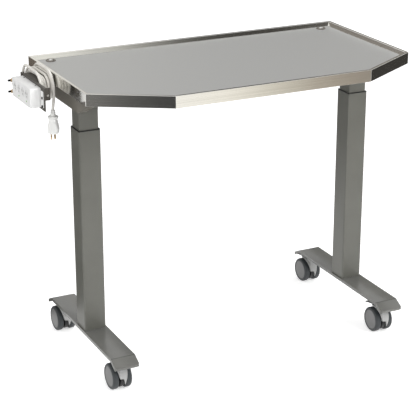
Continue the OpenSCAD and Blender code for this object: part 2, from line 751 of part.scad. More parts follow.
// The winding: a racetrack that spirals in and out again through five layers
loop_r = 28;           // smallest end radius of the cord's middle line
turn_pitch = 10.2;     // between one turn and the next in a layer
layer_pitch = 9.8;     // between layers
layer_x = -47.8;       // first layer, from the tray's left end
turns = 6 + 1 / 3;
steps = 24;            // rings in a turn
step_turn = 360 / 16;  // the two ends take 16 of them, the two straights 8
climbs = [0.5, 2, 3, 4]; // the turns about which the cord climbs to the next layer
// Start on the top straight, over the near end, back below and up the far end
function track(u, r) = let (q = (u - floor(u)) * steps)
    q < 4 ? [spool_s - q * spool_s / 2, r]
    : q < 12 ? [-spool_s, 0] + r * [cos(90 + (q - 4) * step_turn), sin(90 + (q - 4) * step_turn)]
    : q < 16 ? [-spool_s + (q - 12) * spool_s / 2, -r]
    : [spool_s, 0] + r * [cos((q - 16) * step_turn - 90), sin((q - 16) * step_turn - 90)];
// Turns counted out from the smallest radius
function turns_out(t) = t < 2 ? 2 - t : t < 3 ? t - 2 : t < 4 ? 4 - t : t - 4;
// Layers climbed: each climb takes half a turn
function climbed(t, i = 0) = i == len(climbs) ? 0
    : min(1, max(0, (t - climbs[i]) * 2 + 0.5)) + climbed(t, i + 1);
function wound(t) = let (p = track(t, loop_r + turn_pitch * turns_out(t)))
    [layer_x + layer_pitch * climbed(t), spool_y + p.x, spool_z - tray_h + p.y];
wind_route = concat(
    [lead_route[len(lead_route) - 1]],
    [for (k = [0 : turns * steps + 0.01]) wound(k / steps)],
    tail_route
);
// Least gap between the surfaces of turns that lie half a turn or more apart
wind_gap = min([for (i = [2 : len(wind_route) - 1]) for (j = [i + steps / 2 : 1 : len(wind_route) - 1])
    norm(wind_route[i] - wind_route[j])]) - cord_dia;
echo(wind_gap = wind_gap);
module cord_winding() color("whitesmoke") place() translate(cord_home)
    sweep_tube(wind_route, cord_dia / 2, 6, lead_end, [0, 0, -1]);

// Plug: ribbed boot, flared collar and bulb body, flattened on two sides
plug_turn = -20;
boot_l = 20;
body_l = 58;
rib_pitch = 6;
module at_plug() place() translate(cord_home + tail_route[len(tail_route) - 1])
    rotate([0, 0, plug_turn]) children();
module plug_body() color("white") at_plug() intersection() {
    rotate_extrude($fn = 32) polygon(concat(
        [[0, 0], [cord_dia / 2 + 1.5, 0]],
        [for (i = [0 : 2]) each [
            [7.4 + i * 0.7, -2 - i * rib_pitch], [7.4 + i * 0.7, -5 - i * rib_pitch],
            [6.4 + i * 0.7, -5.5 - i * rib_pitch], [6.4 + i * 0.7, -7.5 - i * rib_pitch]
        ]],
        [
            [plug_dia * 0.44, -boot_l - 0.5], [plug_dia * 0.46, -boot_l - 4],
            [plug_dia * 0.37, -boot_l - 10], [plug_dia * 0.37, -boot_l - 17],
            [plug_dia * 0.46, -boot_l - 29], [plug_dia * 0.5, -boot_l - 38],
            [plug_dia * 0.5, -boot_l - 46], [plug_dia * 0.46, -boot_l - body_l], [0, -boot_l - body_l]
        ]
    ));
    translate([-plug_dia, -plug_dia * 0.4, -boot_l - body_l])
        cube([2 * plug_dia, plug_dia * 0.8, boot_l + body_l]);
}

// Two flat blades and a round ground pin
module plug_blades() color("goldenrod") at_plug() translate([0, 0, -boot_l - body_l]) {
    for (edge = ends) translate([0.85, edge * blade_half - 0.75, -17.5]) cube([6.3, 1.5, 17.5]);
    translate([-7.9, 0, -21]) cylinder(r = 2.4, h = 21, $fn = 24);
}

for (leg = legs) {
    foot(leg[1]);
    outer_tube(leg[1]);
    collar(leg[1]);
    lift_nut(leg[1]);
    caster_stems(leg[1]);
}
tray();
stud_nuts();
corner_cups();
tray_channels();
side_brackets();
cross_beam();
inner_tubes();
lift_drives();
control_box();
button_up();
button_down();
strip_bracket();
strip_body();
outlets();
strip_lamps();
strip_screws();
ground_posts();
strain_relief();
cord_lead();
cord_winding();
plug_body();
plug_blades();
for (c = casters) {
    caster_housing(c);
    axle(c);
    brake_pedal(c);
    tyre(c, -1);
    tyre(c, 1);
    hub(c, -1);
    hub(c, 1);
}
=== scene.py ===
import json
import math
from contextlib import contextmanager

import bmesh
import bpy
import numpy as np
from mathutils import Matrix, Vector

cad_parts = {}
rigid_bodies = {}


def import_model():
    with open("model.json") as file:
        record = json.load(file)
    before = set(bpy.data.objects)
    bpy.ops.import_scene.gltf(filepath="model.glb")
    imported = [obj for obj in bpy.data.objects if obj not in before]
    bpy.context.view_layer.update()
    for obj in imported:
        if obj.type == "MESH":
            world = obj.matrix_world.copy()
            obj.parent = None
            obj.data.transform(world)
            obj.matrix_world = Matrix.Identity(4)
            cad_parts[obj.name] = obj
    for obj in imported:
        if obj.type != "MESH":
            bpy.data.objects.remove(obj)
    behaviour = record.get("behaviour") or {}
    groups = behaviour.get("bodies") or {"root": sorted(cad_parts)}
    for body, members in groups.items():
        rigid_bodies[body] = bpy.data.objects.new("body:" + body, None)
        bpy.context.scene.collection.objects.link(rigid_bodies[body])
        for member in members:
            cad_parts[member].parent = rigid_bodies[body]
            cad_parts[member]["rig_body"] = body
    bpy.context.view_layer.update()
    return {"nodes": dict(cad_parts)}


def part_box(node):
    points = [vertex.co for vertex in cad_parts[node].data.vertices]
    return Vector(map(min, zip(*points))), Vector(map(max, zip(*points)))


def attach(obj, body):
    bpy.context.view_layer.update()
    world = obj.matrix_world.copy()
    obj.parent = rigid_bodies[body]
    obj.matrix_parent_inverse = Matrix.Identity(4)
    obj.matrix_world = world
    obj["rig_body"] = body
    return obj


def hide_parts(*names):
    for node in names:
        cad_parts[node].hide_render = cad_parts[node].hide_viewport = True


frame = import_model()
print("frame loaded:", len(frame["nodes"]), "nodes")

mm = 0.001


def nodeBox(node):
    # The low and the high corner of a CAD node's box
    return [np.array(corner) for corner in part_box(node)]


trayLow, trayHigh = nodeBox("tray")
trayMid = (trayLow + trayHigh) / 2
rimZ = trayHigh[2]
cordHome = np.array([trayLow[0], trayMid[1], rimZ])   # the tray's left end, its middle, the rim


def newObject(name, data):
    # An object of this data, in the scene
    item = bpy.data.objects.new(name, data)
    bpy.context.scene.collection.objects.link(item)
    return item


# Camera: fitted to the tray's corners, the columns and the feet in the photograph
cameraSetup = {
    "azimuth": -26.21, "elevation": 20.45, "distance": 4.8656, "targetX": -0.0764,
    "targetZ": 0.4887, "focalPixels": 1434.6, "framePixels": 416, "sensorMm": 36.0,
    "clipStart": 0.1, "clipEnd": 60,
}


def makeCamera(setup):
    # Camera on a sphere round the target: back = (sin a cos e, -cos a cos e, sin e).
    a, e = math.radians(setup["azimuth"]), math.radians(setup["elevation"])
    back = Vector((math.sin(a) * math.cos(e), -math.cos(a) * math.cos(e), math.sin(e)))
    target = Vector((trayMid[0] + setup["targetX"], trayMid[1], setup["targetZ"]))
    data = bpy.data.cameras.new("camera")
    data.sensor_width = setup["sensorMm"]
    data.lens = setup["focalPixels"] / setup["framePixels"] * setup["sensorMm"]
    data.clip_start, data.clip_end = setup["clipStart"], setup["clipEnd"]
    camera = newObject("camera", data)
    camera.location = target + back * setup["distance"]
    camera.rotation_mode = "QUATERNION"
    camera.rotation_quaternion = (-back).to_track_quat("-Z", "Y")
    bpy.context.scene.camera = camera


makeCamera(cameraSetup)
print("camera placed")


# Colours and nodes

def linearColour(hexText):
    # sRGB hex to linear: c / 12.92 below 0.04045, else ((c + 0.055) / 1.055) to the power 2.4.
    c = np.array([int(hexText[i:i + 2], 16) for i in (1, 3, 5)]) / 255
    linear = np.where(c <= 0.04045, c / 12.92, ((c + 0.055) / 1.055) ** 2.4)
    return (*linear.tolist(), 1.0)


def fill(tree, node, inputs):
    # Fills a node's inputs: a plain value is set, and a socket, or a node's first output in
    # use, is linked.
    for name, value in inputs.items():
        entry = node.inputs[name] if isinstance(name, int) else next(
            entry for entry in node.inputs if entry.name == name and entry.enabled
        )
        if isinstance(value, bpy.types.Node):
            value = next(output for output in value.outputs if output.enabled)
        if isinstance(value, bpy.types.NodeSocket):
            tree.links.new(value, entry)
        else:
            entry.default_value = value


def addNode(tree, kind, inputs=None, stops=None, **settings):
    # Adds a node with its settings, values and links. Stops are a ramp's tones by position.
    node = tree.nodes.new("ShaderNode" + kind)
    for name, value in settings.items():
        setattr(node, name, value)
    fill(tree, node, inputs or {})
    if stops:
        elements = node.color_ramp.elements
        while len(elements) < len(stops):
            elements.new(0.5)
        for element, (position, tone) in zip(elements, sorted(stops.items())):
            element.position, element.color = position, linearColour(tone)
    return node


def startMaterial(name):
    material = bpy.data.materials.new(name)
    material.use_nodes = True
    tree = material.node_tree
    shader = tree.nodes["Principled BSDF"]
    coordinates = addNode(tree, "TexCoord").outputs["Object"]
    return material, tree, shader, coordinates


def folded304(name, floorShadeTones, rimSheenTones, foldShadeTone, grainMm):
    # Stainless sheet: the tray floor is grained, and its grey tone is painted shade; the folded
    # rim and apron carry near-white tones that are painted sheen, with drawn lines along them.
    # The attribute floorShare tells them apart, and a second attribute paints shade into the
    # floor's fold and a painted shadow along the apron's hem. The real grain is about a tenth of
    # this and is drawn coarser, so that it shows.
    material, tree, shader, coordinates = startMaterial(name)
    share, foldShade = (addNode(tree, "Attribute", attribute_name=label).outputs["Fac"]
                     for label in ("floorShare", "foldShade"))
    grainAt, drawnAt = (addNode(tree, "Mapping", {"Vector": coordinates, "Scale": scale})
                        for scale in ((0.09, 1.0, 1.0), (0.004, 0.004, 1.0)))
    grain = addNode(tree, "TexNoise", {
        "Vector": grainAt, "Scale": 1 / (grainMm * mm), "Detail": 4.0, "Roughness": 0.7,
    })
    drawn = addNode(tree, "TexNoise", {
        "Vector": drawnAt, "Scale": 420.0, "Detail": 3.0, "Roughness": 0.6,
    })
    cloud = addNode(tree, "TexNoise", {
        "Vector": coordinates, "Scale": 11.0, "Detail": 4.0, "Roughness": 0.6,
    })
    # Grey floor tones are painted shade and near-white rim tones are painted sheen on the same
    # stainless steel
    tones = addNode(tree, "Mix", {
        "Factor": share,
        "A": addNode(tree, "ValToRGB", {"Fac": drawn}, {0.38: rimSheenTones[0], 0.58: rimSheenTones[1]}),
        "B": addNode(tree, "ValToRGB", {"Fac": grain}, {0.2: floorShadeTones[0], 0.8: floorShadeTones[1]}),
    }, data_type="RGBA")
    fill(tree, shader, {
        # Painted shade: the fold and hem attribute mixes a dark tone over the metal's tones
        "Base Color": addNode(tree, "Mix", {
            "Factor": foldShade, "A": tones, "B": linearColour(foldShadeTone),
        }, data_type="RGBA"),
        "Metallic": 1.0,
        "Roughness": addNode(tree, "Mix", {
            "Factor": share,
            "A": addNode(tree, "MapRange", {"Value": cloud, "To Min": 0.05, "To Max": 0.15}),
            "B": addNode(tree, "MapRange", {"Value": grain, "To Min": 0.42, "To Max": 0.56}),
        }),
        "Normal": addNode(tree, "Bump", {"Height": grain, "Strength": 0.06, "Distance": 0.0001}),
    })
    return material


def powderCoat(name, base, shade, roughness, peelMm=1.4, peel=0.12, paintedFoldShade=None):
    # Polyester powder baked on steel: an even semi-gloss skin with orange peel,
    # a little dust in its colour and hand marks in its gloss. Folds (a middle, a distance
    # from it along Y, a width and a tone) paint shade along the press-brake lines.
    material, tree, shader, coordinates = startMaterial(name)
    peelNoise = addNode(tree, "TexNoise", {
        "Vector": coordinates, "Scale": 1 / (peelMm * mm), "Detail": 2.0,
    })
    cloud = addNode(tree, "TexNoise", {
        "Vector": coordinates, "Scale": 9.0, "Detail": 5.0, "Roughness": 0.6,
    })
    skin = addNode(tree, "ValToRGB", {"Fac": cloud}, {0.3: shade, 0.7: base})
    # Painted shade: a dark tone is mixed in along the press-brake folds
    if paintedFoldShade:
        middle, distance, width, tone = paintedFoldShade
        away = addNode(tree, "SeparateXYZ", {"Vector": coordinates}).outputs["Y"]
        for step in (middle, distance):
            away = addNode(tree, "Math", {0: away, 1: step}, operation="SUBTRACT")
            away = addNode(tree, "Math", {0: away}, operation="ABSOLUTE")
        near = addNode(tree, "MapRange", {
            "Value": away, "From Max": width, "To Min": 1.0, "To Max": 0.0,
        })
        skin = addNode(tree, "Mix", {
            "Factor": near, "A": skin, "B": linearColour(tone),
        }, data_type="RGBA")
    fill(tree, shader, {
        "Base Color": skin,
        "Roughness": addNode(tree, "MapRange", {
            "Value": cloud, "To Min": roughness - 0.05, "To Max": roughness + 0.07,
        }),
        "Normal": addNode(tree, "Bump", {
            "Height": peelNoise, "Strength": peel, "Distance": 0.0002,
        }),
    })
    return material


def mouldedPlastic(name, base, shade, roughness, sparkMm=0.8, spark=0.1):
    # Injection-moulded plastic: a fine even texture from the tool, slight flow
    # clouds in the colour and a soft gloss.
    material, tree, shader, coordinates = startMaterial(name)
    texture = addNode(tree, "TexNoise", {
        "Vector": coordinates, "Scale": 1 / (sparkMm * mm), "Detail": 3.0,
    })
    cloud = addNode(tree, "TexNoise", {"Vector": coordinates, "Scale": 22.0, "Detail": 3.0})
    fill(tree, shader, {
        "Base Color": addNode(tree, "ValToRGB", {"Fac": cloud}, {0.25: shade, 0.75: base}),
        "Roughness": addNode(tree, "MapRange", {
            "Value": texture, "To Min": roughness - 0.05, "To Max": roughness + 0.06,
        }),
        "Normal": addNode(tree, "Bump", {
            "Height": texture, "Strength": spark, "Distance": 0.0001,
        }),
    })
    return material


def plainMetal(name, base, shade, roughness, pitMm=1.0):
    # Turned, plated or polished metal: bright, with faint pits and tarnish clouds.
    material, tree, shader, coordinates = startMaterial(name)
    pits = addNode(tree, "TexNoise", {
        "Vector": coordinates, "Scale": 1 / (pitMm * mm), "Detail": 4.0,
    })
    cloud = addNode(tree, "TexNoise", {"Vector": coordinates, "Scale": 60.0, "Detail": 3.0})
    fill(tree, shader, {
        "Base Color": addNode(tree, "ValToRGB", {"Fac": cloud}, {0.3: shade, 0.7: base}),
        "Metallic": 1.0,
        "Roughness": addNode(tree, "MapRange", {
            "Value": pits, "To Min": roughness - 0.04, "To Max": roughness + 0.08,
        }),
        "Normal": addNode(tree, "Bump", {"Height": pits, "Strength": 0.05, "Distance": 0.0001}),
    })
    return material


# The feet's bend, here because their paint carries a painted shade along it
footLow, footHigh = nodeBox("left_foot")
footMiddle, footReach = (footLow[1] + footHigh[1]) / 2, (footHigh[1] - footLow[1]) / 2
footBend = {
    "run": 0.039, "drop": 0.020, "plate": 0.0035, "lip": 0.0105, "thick": 0.0035, "corner": 0.008,
    "clear": 0.0001, "radii": [0.0003, 0.0008, 0.0008, 0.0003], "steps": 4, "rows": 41,
    "shade": 0.0022,
}
# The tone and width of the painted shade along the feet's bends
footFoldShade = (footMiddle, footReach - footBend["run"], footBend["shade"], "#3E3E3B")

materials = {
    # Tray steel: grey floor tones as painted shade, near-white rim tones as painted sheen, and the
    # dark tone of the painted shade in the fold and along the hem
    "traySteel": folded304("grainedStainlessSheet", ("#B7B7B5", "#C3C3C1"),
                           ("#EAE9E4", "#F3F2EE"), "#55534F", 1.5),
    "columnPaint": powderCoat("semiGlossPowderCoat", "#62625C", "#5C5C56", 0.36),
    "footPaint": powderCoat("glossPowderCoat", "#6A6A66", "#636360", 0.2, paintedFoldShade=footFoldShade),
    "bracketPaint": powderCoat("darkOlivePowderCoat", "#706C64", "#646058", 0.42),
    "stripBracketPaint": powderCoat("darkBrownPowderCoat", "#45413A", "#3B3731", 0.4),
    "blackPlastic": mouldedPlastic("blackGlassFilledNylon", "#161617", "#0F0F10", 0.5),
    # The grey of the slot and hole plates is painted shade inside the openings
    "slotShade": mouldedPlastic("greySlotShadePlastic", "#7E7C79", "#74726F", 0.55),
    "motorPaint": powderCoat("blackMotorPaint", "#242426", "#1B1B1D", 0.4),
    "channelSteel": plainMetal("rolledStainlessChannel", "#B9B9B6", "#A6A6A3", 0.34, 2.0),
    "zincSteel": plainMetal("zincPlatedSteel", "#C4C4C2", "#A9A9A8", 0.32),
    "chrome": plainMetal("polishedChromePlate", "#E2E2E0", "#CFCFCD", 0.1),
    # The dish's darker, warmer tone is painted shade standing in for the dark reflections in it
    "spunSteel": plainMetal("shadedSpunStainlessCup", "#8F8A83", "#7B7670", 0.22),
    "casterPlastic": mouldedPlastic("lightGreyNylon", "#A9A9A8", "#A0A09F", 0.34),
    "hubPlastic": mouldedPlastic("greyPolypropyleneDisc", "#717171", "#6A6A6A", 0.42),
    "tyreRubber": mouldedPlastic("greyThermoplasticTread", "#34383A", "#2B2E30", 0.5, 1.2, 0.25),
    "stripPlastic": mouldedPlastic("whiteAbsHousing", "#EBEBEA", "#E4E4E3", 0.36),
    "outletPlastic": mouldedPlastic("paleGreyNylonFace", "#DDDDDC", "#D3D3D2", 0.42),
    "lampGreen": mouldedPlastic("greenPolycarbonateLens", "#7FC05C", "#6DAF4C", 0.2),
    "blackScrew": plainMetal("blackOxideSteel", "#2A2A2B", "#1D1D1E", 0.35),
    "brass": plainMetal("turnedBrass", "#C8AC86", "#A98C68", 0.3),
    "bladeBrass": plainMetal("stampedBrass", "#D8BC90", "#B89A70", 0.22),
    "cordPvc": mouldedPlastic("whitePvcJacket", "#E3E0DA", "#D9D6CF", 0.45, 2.0, 0.12),
    "plugPvc": mouldedPlastic("whitePvcMoulding", "#ECECEA", "#E4E4E1", 0.4, 1.5, 0.1),
}
print("materials made:", len(materials))


# Surfaces

@contextmanager
def merged(mesh):
    # Hands over a mesh's faces with their doubled points joined, and writes them back.
    work = bmesh.new()
    work.from_mesh(mesh)
    bmesh.ops.remove_doubles(work, verts=work.verts, dist=1e-6)
    yield work
    work.to_mesh(mesh)
    work.free()


def meshPiece(name, points, faces, material, body, slot, replaced=(), smoothAngle=35, flats=True):
    # Makes a mesh object from an array of points and lists of faces, and rides it on a body.
    # With flats, wide faces keep their own normal and only the small ones round them turn it.
    mesh = bpy.data.meshes.new(name)
    corners = np.asarray(points, float).reshape(-1, 3).tolist()
    mesh.from_pydata(corners, [], [list(face) for face in faces])
    with merged(mesh) as work:
        bmesh.ops.recalc_face_normals(work, faces=work.faces)
        for face in work.faces:
            face.smooth = True
        for edge in work.edges:
            edge.smooth = edge.calc_face_angle(0) < math.radians(smoothAngle)
    piece = placePiece(newObject(name, mesh), material, body, replaced)
    if flats:
        weighted = piece.modifiers.new("flatFacesKept", "WEIGHTED_NORMAL")
        weighted.mode, weighted.weight, weighted.keep_sharp = "FACE_AREA", 80, True
    return piece


def placePiece(piece, material, body, replaced=()):
    piece.data.materials.clear()
    piece.data.materials.append(materials[material])
    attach(piece, body)
    if replaced:
        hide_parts(*replaced)
    return piece


def gridFaces(rows, columns, closeRows=False, capEnds=False, offset=0):
    # Quads of a grid of rows by columns, its columns joined round, its rows too or its ends
    # capped.
    r = np.arange(rows if closeRows else rows - 1)[:, None]
    c = np.arange(columns)[None]
    here, below = r * columns, (r + 1) % rows * columns
    after = (c + 1) % columns
    corners = [(row + column).ravel() for row, column in (
        (here, c), (here, after), (below, after), (below, c),
    )]
    faces = (np.stack(corners, 1) + offset).tolist()
    if capEnds:
        faces += [(np.arange(columns) + row * columns + offset).tolist() for row in (0, rows - 1)]
    return faces


def revolved(profile, centre, axis, segments):
    # Points of a profile (radius, height) turned about an axis: c + r (cos t u + sin t v) + h w.
    profile = np.asarray(profile, float)
    w = np.asarray(axis, float) / np.linalg.norm(axis)
    u = np.cross(w, [0, 0, 1] if abs(w[2]) < 0.9 else [1, 0, 0])
    u = u / np.linalg.norm(u)
    v = np.cross(w, u)
    t = np.linspace(0, 2 * math.pi, segments, endpoint=False)
    around = np.cos(t)[:, None] * u + np.sin(t)[:, None] * v
    return (np.asarray(centre, float) + profile[:, 0, None, None] * around[None]
            + profile[:, 1, None, None] * w)


def gridPiece(name, rings, *finish, closed=False, **options):
    # A piece from rings of points: closed on itself, or with its two ends capped
    faces = gridFaces(*rings.shape[:2], closeRows=closed, capEnds=not closed)
    return meshPiece(name, rings, faces, *finish, **options)


def turnedPiece(name, profile, at, axis, segments, *finish, closed=False):
    return gridPiece(name, revolved(profile, at, axis, segments), *finish, closed=closed)


def filleted(corners, radii, steps=5):
    # An open outline whose inner corners are rounded: each corner becomes a quadratic
    # curve between the points one radius before and after it.
    corners = np.asarray(corners, float)
    out = [corners[:1]]
    s = np.linspace(0, 1, steps)[:, None]
    for i in range(1, len(corners) - 1):
        before, here, after = corners[i - 1], corners[i], corners[i + 1]
        lengths = np.linalg.norm(before - here), np.linalg.norm(after - here)
        wanted = radii[i - 1] if hasattr(radii, "__len__") else radii
        r = min(wanted, lengths[0] / 2, lengths[1] / 2)
        a = here + (before - here) / lengths[0] * r
        b = here + (after - here) / lengths[1] * r
        out.append((1 - s) ** 2 * a + 2 * s * (1 - s) * here + s ** 2 * b)
    out.append(corners[-1:])
    return np.concatenate(out)


def atHeight(outline, z):
    # An outline in X and Y, laid at a height
    return np.column_stack([outline, np.full(len(outline), z)])


def roundedSquare(width, depth, radius, steps=6):
    # A rectangle's outline with quarter circles at its corners, turning left.
    t = np.radians(np.linspace(0, 90, steps))
    quarter = np.stack([np.cos(t), np.sin(t)], 1) * radius
    corners = []
    for turn, (sx, sy) in enumerate([(1, 1), (-1, 1), (-1, -1), (1, -1)]):
        c, s = round(math.cos(turn * math.pi / 2)), round(math.sin(turn * math.pi / 2))
        turned = quarter @ np.array([[c, s], [-s, c]])
        corners.append(turned + [sx * (width / 2 - radius), sy * (depth / 2 - radius)])
    return np.concatenate(corners)


def softened(node, material, slot, width, segments=2, angle=30, mesh=None):
    # A copy of a CAD node, or a mesh cut from it, with its coplanar triangles joined and its
    # edges rounded.
    source = frame["nodes"][node]
    piece = newObject(node + "_soft", mesh or source.data.copy())
    with merged(piece.data) as work:
        bmesh.ops.dissolve_limit(work, angle_limit=math.radians(0.5), verts=work.verts,
                                 edges=work.edges)
        for face in work.faces:
            face.smooth = True
    bevel = piece.modifiers.new("foldedEdges", "BEVEL")
    bevel.width, bevel.segments, bevel.limit_method = width, segments, "ANGLE"
    bevel.angle_limit = math.radians(angle)
    bevel.harden_normals = True
    return placePiece(piece, material, source["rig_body"], [node])


# Tray: one folded profile carried round the outline, mitred at each corner

traySheet = {
    "cutX": 0.235, "cutY": 0.141, "apron": 0.039, "hem": 0.012, "rim": 0.010, "basin": 0.013,
    "run": 0.010, "sheet": 0.002, "cornerRadius": 0.003, "leastRadius": 0.0004, "cornerSteps": 5,
    "foldRadii": [0.0008, 0.0008, 0.0014, 0.0014, 0.0010], "foldSteps": 6,
    "floorRings": (0.0032, 0.0035, 0.02), "underStep": 0.0015, "underRadius": 0.0008,
    "floorBand": 0.0003, "foldShadeWidth": 0.0012, "hemShadowBand": 0.0004,
}


def trayOutline(inset):
    # The tray's outline drawn in by inset: mitred corners p + d (a + b) / (1 + a.b), each
    # rounded by an arc whose radius shrinks with the inset.
    t = traySheet
    (x0, y0), (x1, y1) = trayLow[:2], trayHigh[:2]
    p = np.array([
        [x0, y1], [x0, y0 + t["cutY"]], [x0 + t["cutX"], y0],
        [x1 - t["cutX"], y0], [x1, y0 + t["cutY"]], [x1, y1],
    ])
    before, after = p - np.roll(p, 1, 0), np.roll(p, -1, 0) - p
    before /= np.linalg.norm(before, axis=1)[:, None]
    after /= np.linalg.norm(after, axis=1)[:, None]
    a = np.stack([-before[:, 1], before[:, 0]], 1)
    b = np.stack([-after[:, 1], after[:, 0]], 1)
    corner = p + inset * (a + b) / (1 + (a * b).sum(1))[:, None]
    radius = max(t["cornerRadius"] - inset, t["leastRadius"])
    back = radius * np.sqrt((1 - (a * b).sum(1)) / (1 + (a * b).sum(1)))[:, None]
    s = np.linspace(0, 1, t["cornerSteps"])[None, :, None]
    start, end = (corner - before * back)[:, None], (corner + after * back)[:, None]
    curve = (1 - s) ** 2 * start + 2 * s * (1 - s) * corner[:, None] + s ** 2 * end
    return curve.reshape(-1, 2)


def makeTray():
    # The profile is pairs of (way in from the outline, height), above and then below the sheet
    t = traySheet
    s, foot, floorZ = t["sheet"], t["rim"] + t["run"], rimZ - t["basin"]
    low, under = rimZ - t["apron"], rimZ - t["basin"] - s
    shift = s * math.hypot(1, t["run"] / t["basin"])
    first, second, last = (foot + ring for ring in t["floorRings"])
    top = filleted([
        (t["hem"], low), (0, low), (0, rimZ), (t["rim"], rimZ), (foot, floorZ), (first, floorZ),
    ], t["foldRadii"], t["foldSteps"])
    top = np.concatenate([top, [(second, floorZ), (last, floorZ)]])
    below = filleted([
        (last, under), (foot - shift + t["underStep"], under),
        (t["rim"] - shift + t["underStep"], rimZ - s), (s, rimZ - s), (s, low + s),
        (t["hem"], low + s),
    ], t["underRadius"])
    profile = np.concatenate([top, below])
    rings = np.stack([atHeight(trayOutline(inset), z) for inset, z in profile])
    rows, columns = rings.shape[:2]
    split, around = len(top), np.arange(columns)
    faces = gridFaces(split, columns)
    faces += gridFaces(rows - split, columns, offset=split * columns)
    after, back = (around + 1) % columns, (rows - 1) * columns
    faces += np.stack([around, after, back + after, back + around], 1).tolist()
    faces += [(around + row * columns).tolist() for row in (split - 1, split)]
    piece = meshPiece("traySheet", rings, faces, "traySteel", "top", "tray_steel", ["tray"], 40)
    places = np.empty(len(piece.data.vertices) * 3)
    piece.data.vertices.foreach_get("co", places)
    x, y, z = places.reshape(-1, 3).T
    onFloor = np.abs(z - floorZ) < t["floorBand"]
    inLow, inHigh = trayLow[:2] + foot, trayHigh[:2] - foot
    # Distances in from the straight sides, and from the cut corners along their normals
    n = np.array([t["cutY"], t["cutX"]]) / math.hypot(t["cutX"], t["cutY"])
    sides = [x - inLow[0], inHigh[0] - x, y - inLow[1], inHigh[1] - y]
    cuts = [endward * n[0] + (y - trayLow[1] - t["cutY"]) * n[1] - foot
            for endward in (x - trayLow[0], trayHigh[0] - x)]
    inward = np.min(sides + cuts, axis=0)
    # The fold band and the hem band carry painted shade: a dark tone where the floor meets the
    # wall, and a painted shadow along the apron's hem
    hem = z < rimZ - t["apron"] + t["hemShadowBand"]
    shares = {"floorShare": onFloor, "foldShade": onFloor & (inward < t["foldShadeWidth"]) | hem}
    for attribute, values in shares.items():
        layer = piece.data.attributes.new(attribute, "FLOAT", "POINT")
        layer.data.foreach_set("value", values.astype(np.float32))


makeTray()
print("tray made")


# Columns: square tubes with drawn corners and eased ends

columnTube = {
    "outerRadius": 0.005, "innerRadius": 0.004, "outerWall": 0.003, "innerWall": 0.0025,
    "ease": 0.0007, "easeShare": 0.3, "leastRadius": 0.001,
}


def makeTube(name, low, high, wall, radius, body, node):
    # A square tube's shell: the outline is carried up outside, over the eased edge and down
    # inside, as pairs of (way in, height).
    t = columnTube
    centre, (width, depth, height) = (low + high) / 2, high - low
    e, part = t["ease"], t["ease"] * t["easeShare"]
    rings = [
        (0, e), (0, height - e), (part, height - part), (e, height), (wall - e, height),
        (wall - part, height - part), (wall, height - e), (wall, e), (wall - e, 0), (e, 0),
    ]
    points = np.stack([
        atHeight(roundedSquare(width - 2 * d, depth - 2 * d, max(radius - d, t["leastRadius"]))
                 + centre[:2], low[2] + h) for d, h in rings
    ])
    gridPiece(name, points, "columnPaint", body, "column_paint", [node], 50, closed=True)


for side in ("left", "right"):
    tubeNode = f"{side}_outer_tube"
    makeTube(f"{side}OuterTube", *nodeBox(tubeNode), columnTube["outerWall"],
             columnTube["outerRadius"], f"{side}_leg", tubeNode)

innerLow, innerHigh = nodeBox("inner_tubes")
innerWidth = innerHigh[1] - innerLow[1]
for tubeName, x in (("leftInnerTube", innerLow[0]), ("rightInnerTube", innerHigh[0] - innerWidth)):
    makeTube(tubeName, np.array([x, *innerLow[1:]]), np.array([x + innerWidth, *innerHigh[1:]]),
             columnTube["innerWall"], columnTube["innerRadius"], "top", "inner_tubes")
print("columns made")


# Casters: tyres with a rounded tread, flat hub discs

casterWheel = {
    "tyre": 0.010, "segments": 72, "bore": 0.00405, "boreDepth": 0.0168,
    "treadRadii": [0.003, 0.004, 0.002, 0.0035, 0.0035, 0.0006], "treadSteps": 6,
}
casterNames = ["front_left", "front_right", "back_left", "back_right"]


def makeWheel(caster, number, inward):
    # A tyre and a disc turned about the axle, as pairs of (radius, height), with heights
    # from the inner face outwards.
    w = casterWheel
    low, high = nodeBox(f"{caster}_tyre_{number}")
    at, axis = (low + high) / 2, (-inward, 0, 0)
    at[0] = high[0] if inward > 0 else low[0]
    outer, width = (high[2] - low[2]) / 2, high[0] - low[0]
    seat = outer - w["tyre"]
    tread = filleted([
        (seat, 0.0005), (outer - 0.004, 0.0), (outer, 0.003), (outer, width * 0.5),
        (outer, width - 0.0045), (outer - 0.0045, width), (seat + 0.0006, width - 0.0004),
        (seat, width - 0.0012),
    ], w["treadRadii"], w["treadSteps"])
    body = f"{caster}_wheel_{number}"
    turnedPiece(f"{caster}Tyre{number}", tread, at, axis, w["segments"], "tyreRubber", body,
                "tyre_rubber", [f"{caster}_tyre_{number}"], 50, closed=True)
    disc = [
        (w["bore"], 0.0), (0.009, 0.0), (0.0095, 0.0005), (0.011, 0.004), (seat - 0.005, 0.004),
        (seat - 0.001, 0.002), (seat, 0.002), (seat, width - 0.0016),
        (seat - 0.0006, width - 0.0010), (seat - 0.0018, width - 0.0007),
        (seat - 0.0024, width - 0.0012), (seat - 0.0032, width - 0.0012),
        (seat - 0.0038, width - 0.0008), (0.006, width - 0.0006), (0.0004, width - 0.0006),
    ]
    bore = [(w["bore"], 0.0), (w["bore"], w["boreDepth"]), (0.0002, w["boreDepth"])]
    points = revolved(disc + bore, at, axis, w["segments"])
    start, around = len(disc) * w["segments"], np.arange(w["segments"])
    faces = gridFaces(len(disc), w["segments"]) + gridFaces(len(bore), w["segments"], offset=start)
    for rows in (len(disc), len(disc) + len(bore)):
        faces.append((around + (rows - 1) * w["segments"]).tolist())
    meshPiece(f"{caster}Hub{number}", points, faces, "hubPlastic", body, "hub_plastic",
              [f"{caster}_hub_{number}"], 40)


